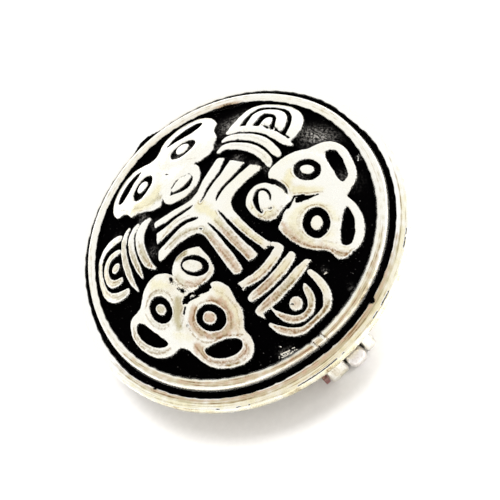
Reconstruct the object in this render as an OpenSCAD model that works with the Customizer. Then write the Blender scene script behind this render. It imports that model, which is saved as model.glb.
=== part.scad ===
// Cast disc brooch: a hollow dome with threefold animal ornament, a bead ring and a flat rim,
// with a riveted hinge, a needle and a hook catch underneath.
// +Z is up, z = 0 is the table it lies on, and the hinge is on the -Y side.

/* [Disc] */
// Outer diameter of the disc
disc_d = 30; // [29.6:0.2:31]
// Height of the rim's flat underside above the table
rim_under = 3.0; // [2.9:0.1:3.2]
// Height of the plain outer wall of the rim
rim_wall = 0.8; // [0.6:0.1:1.0]
// Radius of the sphere that the sunk ground follows
ground_r = 18; // [17.8:0.1:18.4]
// Height of the sunk ground at the middle of the disc
ground_top = 9.0; // [8.9:0.1:9.2]
// Thickness of the cast wall of the dome
wall = 1.3; // [1.1:0.1:1.5]
// How far the ornament stands up from the ground
relief = 0.6; // [0.4:0.1:0.8]

/* [Border] */
// Inner radius of the bead ring, where the ground ends
bead_in = 12.7; // [12.6:0.05:12.8]
// Width of the bead ring
bead_w = 0.85; // [0.7:0.05:0.9]
// Height of the bead's crest above the table
bead_top = 4.85; // [4.7:0.05:5.0]
// Height of the ground at the foot of the bead
foot_z = 4.15; // [4.1:0.05:4.25]
// Outer radius of the groove between the bead and the rim
groove_out = 14; // [13.9:0.05:14.1]
// Height of the groove's floor
groove_z = 3.7; // [3.6:0.1:3.8]
// Height of the rim at the groove's outer edge
rim_inner_z = 4.1; // [4.0:0.1:4.2]

/* [Hinge] */
// Distance of the hinge axis from the middle of the disc
axis_y = 13.6; // [13.4:0.1:13.7]
// Height of the hinge axis above the table, also the outer radius of the ears
axis_z = 0.9; // [0.9:0.05:1.0]
// Width of the gap between the two ears
ear_gap = 1.9; // [1.8:0.1:2.1]
// Thickness of each ear
ear_t = 1.6; // [1.4:0.1:1.7]
// How far the gap's middle lies to the +X side of the disc's middle
hinge_x = 0.4; // [0:0.1:0.5]
// Radius of the rivet
rivet_r = 0.4; // [0.3:0.05:0.45]
// Radial play of the needle's eye on the rivet
play = 0.04; // [0.02:0.01:0.08]
// How far each end of the rivet stands out of its ear
rivet_out = 0.25; // [0.1:0.05:0.3]

/* [Needle] */
// Outer radius of the eye
eye_r = 0.82; // [0.75:0.01:0.85]
// Radius of the needle's shank
shank_r = 0.45; // [0.4:0.01:0.48]
// Radius of the needle's root, where it leaves the eye
root_r = 0.55; // [0.5:0.01:0.6]
// Distance from the hinge axis to where the root has narrowed to the shank
root_l = 1.7; // [1.5:0.1:2.5]
// Length of the needle from the hinge axis to its point
needle_l = 28; // [27.6:0.1:28.2]

/* [Catch] */
// Inner radius of the hook round the needle
hook_in = 0.65; // [0.6:0.05:0.7]
// Thickness of the hook's strip
hook_t = 0.5; // [0.4:0.05:0.55]
// Width of the hook along the needle
hook_w = 2; // [1.5:0.1:2.2]
// Distance of the hook's outer end from the middle of the disc
hook_end = 14; // [13.6:0.1:14.2]

/* [Hidden] */
$fn = 72;

disc_r = disc_d / 2;
dome_z = ground_top - ground_r;
copies = 3;
copy_turn = 360 / copies;
arm_offset = copy_turn / 2;
overlap = 0.2;
ring_start = 11;
ring_lift = 4.7;
foot_start = 11.4;
dome_cut = 12.5;
prism_low = 8;
bead_shoulder = 4.3;
bead_steps = 8;
groove_wall = 0.05;

// Outlines of the mask and its ear hole, right half, in millimetres from the disc's middle
FACE = [[0, 10.6], [0.7, 11.0], [1.6, 11.45], [2.8, 11.55], [3.9, 11.3], [4.9, 10.8], [5.6, 10.0],
        [5.75, 9.4], [5.45, 8.8], [4.95, 8.3], [4.85, 7.6], [4.6, 6.9], [4.05, 6.1], [3.3, 5.5],
        [2.5, 5.25], [1.9, 5.5], [1.2, 6.2]];
EAR_HOLE = [[1.35, 10.45], [1.8, 10.8], [2.6, 10.92], [3.5, 10.78], [4.3, 10.4], [4.75, 9.9],
            [4.65, 9.5], [4.2, 9.42], [3.3, 9.65], [2.3, 9.98]];
spans = 3;

// Ovals of the mask: middle x and y, half width, half height, tilt
SOCKET = [2.45, 8.2, 1.25, 1.0, -18];
PUPIL = [2.42, 8.2, 0.56, 0.42, -18];
RING_OUT = [0, 4.5, 1.2, 0.78, 0];
RING_IN = [0, 4.5, 0.85, 0.46, 0];
oval_steps = 20;
nose_y = 4.75;
nose_r = 1.75;
crease = 0.22;
CLEFT = [[0, 8.4], [0.22, 7.0], [0.16, 6.2], [-0.16, 6.2], [-0.22, 7.0]];

// The arm: its three strands, then the ribs of the collar and the arches of the terminal
STRANDS = [[1.7, -0.5], [1.65, 3.0], [2.0, 5.55], [-2.0, 5.55], [-1.65, 3.0], [-1.7, -0.5]];
STRAND_GROOVE = [[0.55, 0.9], [0.48, 3.0], [0.48, 5.8], [1.08, 5.8], [0.82, 3.0], [0.68, 0.9]];
crotch_r = 0.5;
// Each rib: half length, middle height, thickness, fall of its ends
RIBS = [[2.5, 6.8, 0.7, 0.65], [2.75, 7.85, 0.68, 0.65], [3.1, 8.8, 0.62, 0.5]];
rib_steps = 10;
// Each arch: outer radius, inner radius, height of its centre, height of its feet
ARCHES = [[2.9, 2.32, 9.3, 8.7], [1.75, 1.2, 9.7, 9.45]];
dot_y = 10.1;
dot_r = 0.5;

eye_play = 0.1;
root_start = 0.55;
taper_start = 19;
tip_start = 25.5;
tip_root_r = 0.3;
tip_end_r = 0.05;
lip_angle = -50;
stem_half = 0.35;

function between(a, b, c, d, t) =
    0.5 * (2 * b + (c - a) * t + (2 * a - 5 * b + 4 * c - d) * t * t + (3 * b - a - 3 * c + d) * t * t * t);
function smooth_loop(p) = let (n = len(p))
    [for (i = [0:n - 1], k = [0:spans - 1])
        between(p[(i + n - 1) % n], p[i], p[(i + 1) % n], p[(i + 2) % n], k / spans)];
function mirrored(p) = [for (i = [len(p) - 1:-1:1]) [-p[i][0], p[i][1]]];
function oval(o) = [for (i = [0:oval_steps - 1]) let (a = 360 * i / oval_steps)
    [o[0] + o[2] * cos(a) * cos(o[4]) - o[3] * sin(a) * sin(o[4]),
     o[1] + o[2] * cos(a) * sin(o[4]) + o[3] * sin(a) * cos(o[4])]];
function rib_edge(rib, side) = [for (i = [0:rib_steps]) let (s = 2 * i / rib_steps - 1, u = sin(90 * s))
    [rib[0] * u, rib[1] - rib[3] * u * u + side * rib[2] / 2 * pow(max(cos(90 * s), 0.001), 0.3)]];
function backwards(p) = [for (i = [len(p) - 1:-1:0]) p[i]];

module both_sides() {
    children();
    mirror([1, 0]) children();
}

module mask_outline() {
    difference() {
        polygon(smooth_loop(concat(FACE, mirrored(FACE))));
        translate([0, nose_y]) circle(r = nose_r + crease);
        both_sides() polygon(smooth_loop(EAR_HOLE));
        both_sides() polygon(oval(SOCKET));
        polygon(CLEFT);
    }
    both_sides() polygon(oval(PUPIL));
    difference() {
        translate([0, nose_y]) circle(r = nose_r);
        polygon(oval(RING_OUT));
    }
    polygon(oval(RING_IN));
}

module triskele_outline() {
    difference() {
        offset(r = -crotch_r) offset(r = crotch_r)
            for (i = [0:copies - 1]) rotate(i * copy_turn) polygon(STRANDS);
        for (i = [0:copies - 1]) rotate(i * copy_turn) both_sides() polygon(STRAND_GROOVE);
    }
}

module arch_outline(r, y, low) {
    translate([0, y]) circle(r = r);
    translate([-r, low]) square([2 * r, y - low]);
}

module collar_outline() {
    for (rib = RIBS) polygon(concat(rib_edge(rib, -1), backwards(rib_edge(rib, 1))));
}

module terminal_outline() {
    for (arch = ARCHES) difference() {
        intersection() {
            arch_outline(arch[0], arch[2], arch[3]);
            translate([-arch[0], arch[3]]) square(2 * arch[0]);
        }
        arch_outline(arch[1], arch[2], arch[3] - overlap);
    }
    translate([0, dot_y]) circle(r = dot_r);
}

module ornament_outline() {
    for (i = [0:copies - 1]) rotate(i * copy_turn) mask_outline();
    rotate(arm_offset) {
        triskele_outline();
        for (i = [0:copies - 1]) rotate(i * copy_turn) {
            collar_outline();
            terminal_outline();
        }
    }
}

module ornament() {
    translate([0, 0, dome_z]) difference() {
        intersection() {
            translate([0, 0, prism_low]) linear_extrude(ground_r) ornament_outline();
            sphere(r = ground_r + relief);
        }
        sphere(r = ground_r - wall / 2);
    }
}

module rim() {
    bead_x = bead_in + bead_w / 2;
    bead = [for (i = [0:bead_steps]) let (a = 180 * i / bead_steps)
        [bead_x + bead_w / 2 * cos(a), bead_shoulder + (bead_top - bead_shoulder) * sin(a)]];
    rotate_extrude() polygon(concat(
        [[ring_start, rim_under], [disc_r, rim_under], [disc_r, rim_under + rim_wall],
         [groove_out, rim_inner_z], [groove_out - groove_wall, groove_z],
         [bead_in + bead_w + groove_wall, groove_z]],
        bead,
        [[bead_in, foot_z], [foot_start, ring_lift], [ring_start, ring_lift]]));
}

module dome() {
    difference() {
        union() {
            intersection() {
                translate([0, 0, dome_z]) sphere(r = ground_r);
                translate([0, 0, rim_under]) cylinder(r = dome_cut, h = ground_top);
            }
            rim();
        }
        translate([0, 0, dome_z]) sphere(r = ground_r - wall);
    }
}

module along_x(x, r, length) {
    translate([x, -axis_y, axis_z]) rotate([0, 90, 0]) cylinder(r = r, h = length);
}

module hinge_ear(x) {
    difference() {
        union() {
            along_x(x, axis_z, ear_t);
            translate([x, -axis_y - axis_z, axis_z]) cube([ear_t, 2 * axis_z, rim_under + overlap - axis_z]);
        }
        along_x(x - overlap, rivet_r + play / 2, ear_t + 2 * overlap);
    }
}

module hinge_ears() {
    hinge_ear(hinge_x - ear_gap / 2 - ear_t);
    hinge_ear(hinge_x + ear_gap / 2);
}

// A strip bent round one side of the needle, open on the side where the needle swings out
module catch_hook() {
    hook_out = hook_in + hook_t;
    translate([hinge_x, hook_end, axis_z]) rotate([90, 0, 0]) linear_extrude(hook_w) {
        difference() {
            circle(r = hook_out);
            circle(r = hook_in);
            polygon([[0, 2 * hook_out], [0, 0], [2 * hook_out * cos(lip_angle), 2 * hook_out * sin(lip_angle)],
                     [-2 * hook_out, -2 * hook_out], [-2 * hook_out, 2 * hook_out]]);
        }
        translate([-stem_half, hook_in + hook_t / 4]) square([2 * stem_half, rim_under - axis_z - hook_in]);
    }
}

module disc() {
    color([0.86, 0.84, 0.80]) {
        dome();
        ornament();
        hinge_ears();
        catch_hook();
    }
}

module pin() {
    color([0.80, 0.79, 0.76]) {
        difference() {
            along_x(hinge_x - ear_gap / 2 + eye_play, eye_r, ear_gap - 2 * eye_play);
            along_x(hinge_x - ear_gap, rivet_r + play, 2 * ear_gap);
        }
        translate([hinge_x, -axis_y, axis_z]) rotate([-90, 0, 0]) rotate_extrude()
            polygon([[0, root_start], [root_r, root_start], [shank_r, root_l], [shank_r, taper_start],
                     [tip_root_r, tip_start], [tip_end_r, needle_l], [0, needle_l]]);
    }
}

module rivet() {
    rivet_l = ear_gap + 2 * ear_t + 2 * rivet_out;
    color([0.45, 0.27, 0.22]) along_x(hinge_x - rivet_l / 2, rivet_r, rivet_l);
}

disc();
pin();
rivet();
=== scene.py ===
import math
import bpy
import bmesh
import numpy as np
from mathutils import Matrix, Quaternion, Vector
from mathutils.geometry import delaunay_2d_cdt


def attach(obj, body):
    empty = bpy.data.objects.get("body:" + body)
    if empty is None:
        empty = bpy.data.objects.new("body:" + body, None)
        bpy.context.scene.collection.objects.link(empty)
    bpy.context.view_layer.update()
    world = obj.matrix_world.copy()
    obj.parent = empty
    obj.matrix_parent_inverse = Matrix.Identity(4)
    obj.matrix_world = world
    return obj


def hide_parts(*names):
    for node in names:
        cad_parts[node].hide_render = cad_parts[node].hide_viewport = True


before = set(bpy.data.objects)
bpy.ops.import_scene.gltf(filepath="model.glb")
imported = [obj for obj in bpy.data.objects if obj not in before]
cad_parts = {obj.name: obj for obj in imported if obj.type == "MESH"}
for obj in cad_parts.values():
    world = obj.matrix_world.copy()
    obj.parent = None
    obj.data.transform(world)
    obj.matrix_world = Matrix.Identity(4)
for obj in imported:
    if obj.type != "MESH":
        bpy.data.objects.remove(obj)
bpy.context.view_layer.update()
mm = 0.001                     # every table below is in millimetres, seen from straight above the disc

photo = dict(aim=(0, 0, 5.3), elevation=54.7, roll=-43.24, distance=203, lens=177.1,
             shiftX=0.0392, shiftY=-0.0315)


def setCamera(p):
    data = bpy.data.cameras.new("photoCamera")
    camera = bpy.data.objects.new("photoCamera", data)
    bpy.context.collection.objects.link(camera)
    rise = math.radians(p["elevation"])
    back = Vector((0, -math.cos(rise), math.sin(rise)))
    camera.location = (Vector(p["aim"]) + back * p["distance"]) * mm
    camera.rotation_mode = "QUATERNION"
    roll = Quaternion((0, 0, 1), math.radians(p["roll"]))
    camera.rotation_quaternion = back.to_track_quat("Z", "Y") @ roll
    data.lens = p["lens"]
    data.shift_x, data.shift_y = p["shiftX"], p["shiftY"]
    data.clip_start, data.clip_end = 0.01, 5
    bpy.context.scene.camera = camera
    bpy.context.scene.view_settings.view_transform = "Standard"


class Value:
    # one output of a node, so that shader maths reads as plain sums
    def __init__(self, paint, socket):
        self.paint, self.socket = paint, socket

    def math(self, operation, *others):
        return self.paint.node("ShaderNodeMath", {"operation": operation}, dict(enumerate((self,) + others)))

    def __add__(self, other):
        return self.math("ADD", other)

    def __sub__(self, other):
        return self.math("SUBTRACT", other)

    def __rsub__(self, other):
        return self.paint.node("ShaderNodeMath", {"operation": "SUBTRACT"}, {0: other, 1: self})

    def __mul__(self, other):
        if self.socket.type == "VECTOR":
            return self.paint.node("ShaderNodeVectorMath", {"operation": "SCALE"}, {0: self, "Scale": other})
        return self.math("MULTIPLY", other)

    __radd__ = __add__
    __rmul__ = __mul__

    def step(self, low, high):     # soft step from 0 at low to 1 at high
        return self.paint.node("ShaderNodeMapRange", {"interpolation_type": "SMOOTHSTEP"},
                               {"Value": self, "From Min": low, "From Max": high})


class Paint:
    def __init__(self, name, tree=None):
        self.material = None
        if tree is None:
            self.material = bpy.data.materials.new(name)
            self.material.use_nodes = True
            tree = self.material.node_tree
        self.tree = tree
        tree.nodes.clear()

    def node(self, kind, settings=None, sockets=None, out=0):
        made = self.tree.nodes.new(kind)
        for key, value in (settings or {}).items():
            setattr(made, key, value)
        for key, value in (sockets or {}).items():
            socket = made.inputs[key]
            if isinstance(value, Value):
                self.tree.links.new(value.socket, socket)
            elif isinstance(value, tuple) and len(value) == 3 and socket.type == "RGBA":
                socket.default_value = (*value, 1)
            else:
                socket.default_value = value
        return Value(self, made.outputs[out]) if made.outputs else made

    def place(self):
        return self.node("ShaderNodeTexCoord", out="Object")

    def attribute(self, name):
        return self.node("ShaderNodeAttribute", {"attribute_name": name}, out="Fac")

    def vector(self, operation, *parts, out=0):
        return self.node("ShaderNodeVectorMath", {"operation": operation}, dict(enumerate(parts)), out)

    def stretched(self, place, scale, turn=0):
        return self.node("ShaderNodeMapping", {}, {"Vector": place, "Rotation": (0, 0, turn),
                                                   "Scale": scale})

    def noise(self, place, grain, detail=3, rough=0.55):     # grain: size of the blotches in millimetres
        return self.node("ShaderNodeTexNoise", {}, {"Vector": place, "Scale": 1 / (grain * mm),
                                                    "Detail": detail, "Roughness": rough})

    def mix(self, share, first, second, blend="MIX"):
        return self.node("ShaderNodeMix", {"data_type": "RGBA", "blend_type": blend},
                         {0: share, 6: first, 7: second}, out=2)

    def bump(self, height, depth, strength=1.0):
        return self.node("ShaderNodeBump", {}, {"Height": height, "Distance": depth * mm,
                                                "Strength": strength})

    def surface(self, sockets):
        shader = self.node("ShaderNodeBsdfPrincipled", {}, sockets)
        self.node("ShaderNodeOutputMaterial", {}, {"Surface": shader})
        return self.material


# Besides the colours: the radii where the border begins, and where the rim's own colour does.
# straw, rose and olive are colours of painted reflections and shade, line is the colour of the painted shade
# lines, and sootAndShade darkens both specks and painted shade
silverLook = dict(bright=(0.955, 0.945, 0.885), warm=(0.93, 0.89, 0.74), rim=(1.0, 1.0, 0.985),
                  straw=(0.925, 0.875, 0.64), rose=(0.66, 0.48, 0.35), olive=(0.58, 0.53, 0.35),
                  line=(0.42, 0.31, 0.19), sootAndShade=(0.16, 0.11, 0.07), dull=(0.62, 0.58, 0.52),
                  black=(0.0006, 0.0005, 0.0006), rubbedAndSheen=(0.36, 0.345, 0.32),
                  borderFrom=(12.5, 12.6), rimFrom=(13.6, 13.8))


def castSilver(look):
    p = Paint("castSilver")
    place = p.place()
    edge = p.attribute("edge")        # millimetres inside the polished tops, less than 0 in the black ground
    hidden = p.attribute("hidden")    # 1 on the unpolished back
    rubbedAndSheen = p.attribute("rubbedAndSheen")    # where the black shows grey: rubbed wear, and a painted sheen
    fine = p.noise(place, 0.09, 2)
    cloud = p.noise(place, 3.5, 3)
    grain = p.noise(place, 0.22, 4, 0.65)
    flat = p.stretched(place, (1, 1, 0))
    radius = p.vector("LENGTH", flat, out="Value") * (1 / mm)
    rise = p.node("ShaderNodeCombineXYZ", {}, {"Z": radius * 9.0})
    rings = p.vector("ADD", p.vector("NORMALIZE", flat) * 3.0, rise)
    streak = p.noise(rings, 1 / mm, 3, 0.6)             # drawn out along the rings
    border = radius.step(*look["borderFrom"])
    uneven = grain + (streak - grain) * border
    polished = (edge + (fine - 0.5) * 0.16 + (grain - 0.5) * 0.06).step(-0.014, 0.008)
    sooty = (0.5 - fine).step(-0.02, 0.12) * (1 - (edge + (grain - 0.5) * 0.2).step(-0.04, 0.10))
    metal = p.mix(cloud.step(0.45, 0.7) * 0.5, look["bright"], look["warm"])
    metal = p.mix(radius.step(*look["rimFrom"]), metal, look["rim"])
    # inner keeps the tints off the outer tenth of a millimetre of each top, which stays bright as a painted
    # highlight
    inner = (edge + (uneven - 0.5) * 0.12).step(0.03, 0.13)
    blotch = p.noise(place, 0.4, 2).step(0.42, 0.62)
    # straw, olive and rose are painted reflections and shade on the polished metal
    reflectionTint = 0.0
    for name, spread in (("straw", 0.15), ("olive", 0.0), ("rose", 0.55)):
        amount = (p.attribute(name) + (uneven - 0.5) * 0.9).step(0.1, 0.95) * inner
        reflectionTint = amount * 0.8 + reflectionTint
        metal = p.mix(amount, metal, p.mix(blotch * spread, look[name], look["olive"]))
    # thin brown painted shade lines just inside the ornament's edges and along the border's streaks, then
    # the painted shade strokes
    thinShadeLine = (edge.step(0.09, 0.15) * (1 - edge.step(0.17, 0.26)) * (1 - border)
            + (streak.step(0.56, 0.62) - streak.step(0.62, 0.7)) * border)
    lines = thinShadeLine * (reflectionTint + 0.05 * border) * (grain.step(0.3, 0.6) * 0.9 + 0.1)
    lines = lines + p.attribute("stroke") * (grain * 0.7 + fine * 0.5).step(0.47, 0.67) * inner
    metal = p.mix(lines, metal, look["line"], "MULTIPLY")
    # dark specks: real pits, and also painted shade in creases, beside the border's nicks and on its outer
    # wall
    metal = p.mix((p.attribute("specksAndShade") + (fine - 0.5) * 2.2).step(0.72, 0.86), metal, look["sootAndShade"])
    metal = p.mix(sooty * 0.55, metal, look["sootAndShade"])
    metal = p.mix(hidden * (0.35 + grain * 0.5), metal, look["dull"])
    # grey on the black ground: fine dust specks, rubbed wear and painted sheen
    dustAndSheen = (p.noise(place, 0.16, 2, 0.5).step(0.70, 0.78) * 0.3
            + rubbedAndSheen * (grain * 0.6 + fine * 0.4).step(0.46, 0.62))
    ground = p.mix(dustAndSheen, look["black"], look["rubbedAndSheen"])
    scratch = p.noise(p.stretched(place, (1, 9, 1), 0.6), 1 / 0.9, 3, 0.5)
    height = (grain * 0.5 + scratch * 0.35 + p.noise(place, 0.7, 2) * 1.2 + hidden * p.noise(place, 0.35, 3)
              + streak * border * 0.8)
    return p.surface({
        "Base Color": p.mix(polished, ground, metal),
        "Metallic": polished,
        "Roughness": 0.62 - polished * (0.40 - grain * 0.10 - hidden * 0.16),
        "Specular IOR Level": 0.0,
        "Normal": p.bump(height, 0.014, 0.8),
    })


def wireSilver():
    p = Paint("wireSilver")
    place = p.place()
    lines = p.noise(p.stretched(place, (9, 0.5, 9)), 0.9, 3)
    grain = p.noise(place, 0.25, 3)
    # the wire's tone is darkened to a pinkish grey in grain-driven patches, as painted shade
    tone = p.mix(grain.step(0.45, 0.75) * 0.6, (0.86, 0.825, 0.80), (0.66, 0.60, 0.56))
    return p.surface({"Base Color": tone, "Metallic": 1.0, "Roughness": 0.2 + lines * 0.18,
                      "Normal": p.bump(lines + grain * 0.6, 0.008, 0.7)})


def rivetCopper():
    p = Paint("rivetCopper")
    place = p.place()
    grain = p.noise(place, 0.12, 4)
    rust = p.noise(place, 0.45, 2)
    tone = p.mix(rust.step(0.4, 0.65), (0.30, 0.15, 0.14), (0.47, 0.31, 0.28))
    across = p.node("ShaderNodeSeparateXYZ", {}, {0: place}, out="X") * (1 / mm)
    tone = p.mix(across.step(-2.2, -2.0), tone, (0.01, 0.008, 0.008))    # painted shade: black inside the hinge, where the gap between the parts lies in shadow
    return p.surface({"Base Color": tone, "Metallic": 0.75, "Roughness": 0.42 + grain * 0.2,
                      "Normal": p.bump(grain, 0.02, 0.8)})


def paleTable():
    p = Paint("paleTable")
    place = p.place()
    fibre = p.noise(place, 0.6, 4, 0.6)
    tone = p.mix(fibre.step(0.3, 0.8), (0.82, 0.81, 0.805), (0.86, 0.85, 0.845))
    return p.surface({"Base Color": tone, "Roughness": 0.9, "Specular IOR Level": 0.1,
                      "Normal": p.bump(fibre, 0.02, 0.25)})


light = dict(white=(1.0, 0.995, 0.98), whiteLevel=1.03, patch=(0.90, 0.85, 0.77),
             patchAim=(-0.10, -0.35, 0.93), patchInner=0.96, patchOuter=0.74,
             keyPlace=(58, 126, 254), keySize=190, keyPower=1.0,
             fillPlace=(0, 0, 420), fillSize=500, fillPower=0.2,
             sidePlace=(150, -110, 150), sideAim=(11.0, -13.0, 0), sideCone=4.1, sideBlend=0.15, sideSoft=3,
             sidePower=2.4)


def addLamp(name, kind, place, aim, settings):
    data = bpy.data.lights.new(name, kind)
    for key, value in settings.items():
        setattr(data, key, value)
    lamp = bpy.data.objects.new(name, data)
    bpy.context.collection.objects.link(lamp)
    lamp.location = Vector(place) * mm
    lamp.rotation_euler = (Vector(place) - Vector(aim)).to_track_quat("Z", "Y").to_euler()
    lamp.visible_glossy = False


def setLight(l):
    world = bpy.data.worlds.new("studio")
    bpy.context.scene.world = world
    world.use_nodes = True
    p = Paint("studio", world.node_tree)
    heading = p.node("ShaderNodeTexCoord", out="Generated")
    aim = Vector(l["patchAim"]).normalized()
    facing = p.vector("DOT_PRODUCT", heading, tuple(aim), out="Value")
    tone = p.mix(facing.step(l["patchOuter"], l["patchInner"]), l["white"], l["patch"])
    sky = p.node("ShaderNodeBackground", {}, {"Color": tone, "Strength": l["whiteLevel"]})
    p.node("ShaderNodeOutputWorld", {}, {"Surface": sky})
    addLamp("reflector", "SPOT", l["sidePlace"], l["sideAim"],
            dict(spot_size=math.radians(l["sideCone"]), spot_blend=l["sideBlend"],
                 shadow_soft_size=l["sideSoft"] * mm, energy=l["sidePower"]))
    for name, part in (("softbox", "key"), ("ceiling", "fill")):
        addLamp(name, "AREA", l[part + "Place"], (0, 0, 0),
                dict(shape="SQUARE", size=l[part + "Size"] * mm, energy=l[part + "Power"]))


def layTable():
    bpy.ops.mesh.primitive_plane_add(size=3, location=(0, 0, 0))
    table = bpy.context.object
    table.name = "paleTable"
    table.data.materials.append(paleTable())


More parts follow.
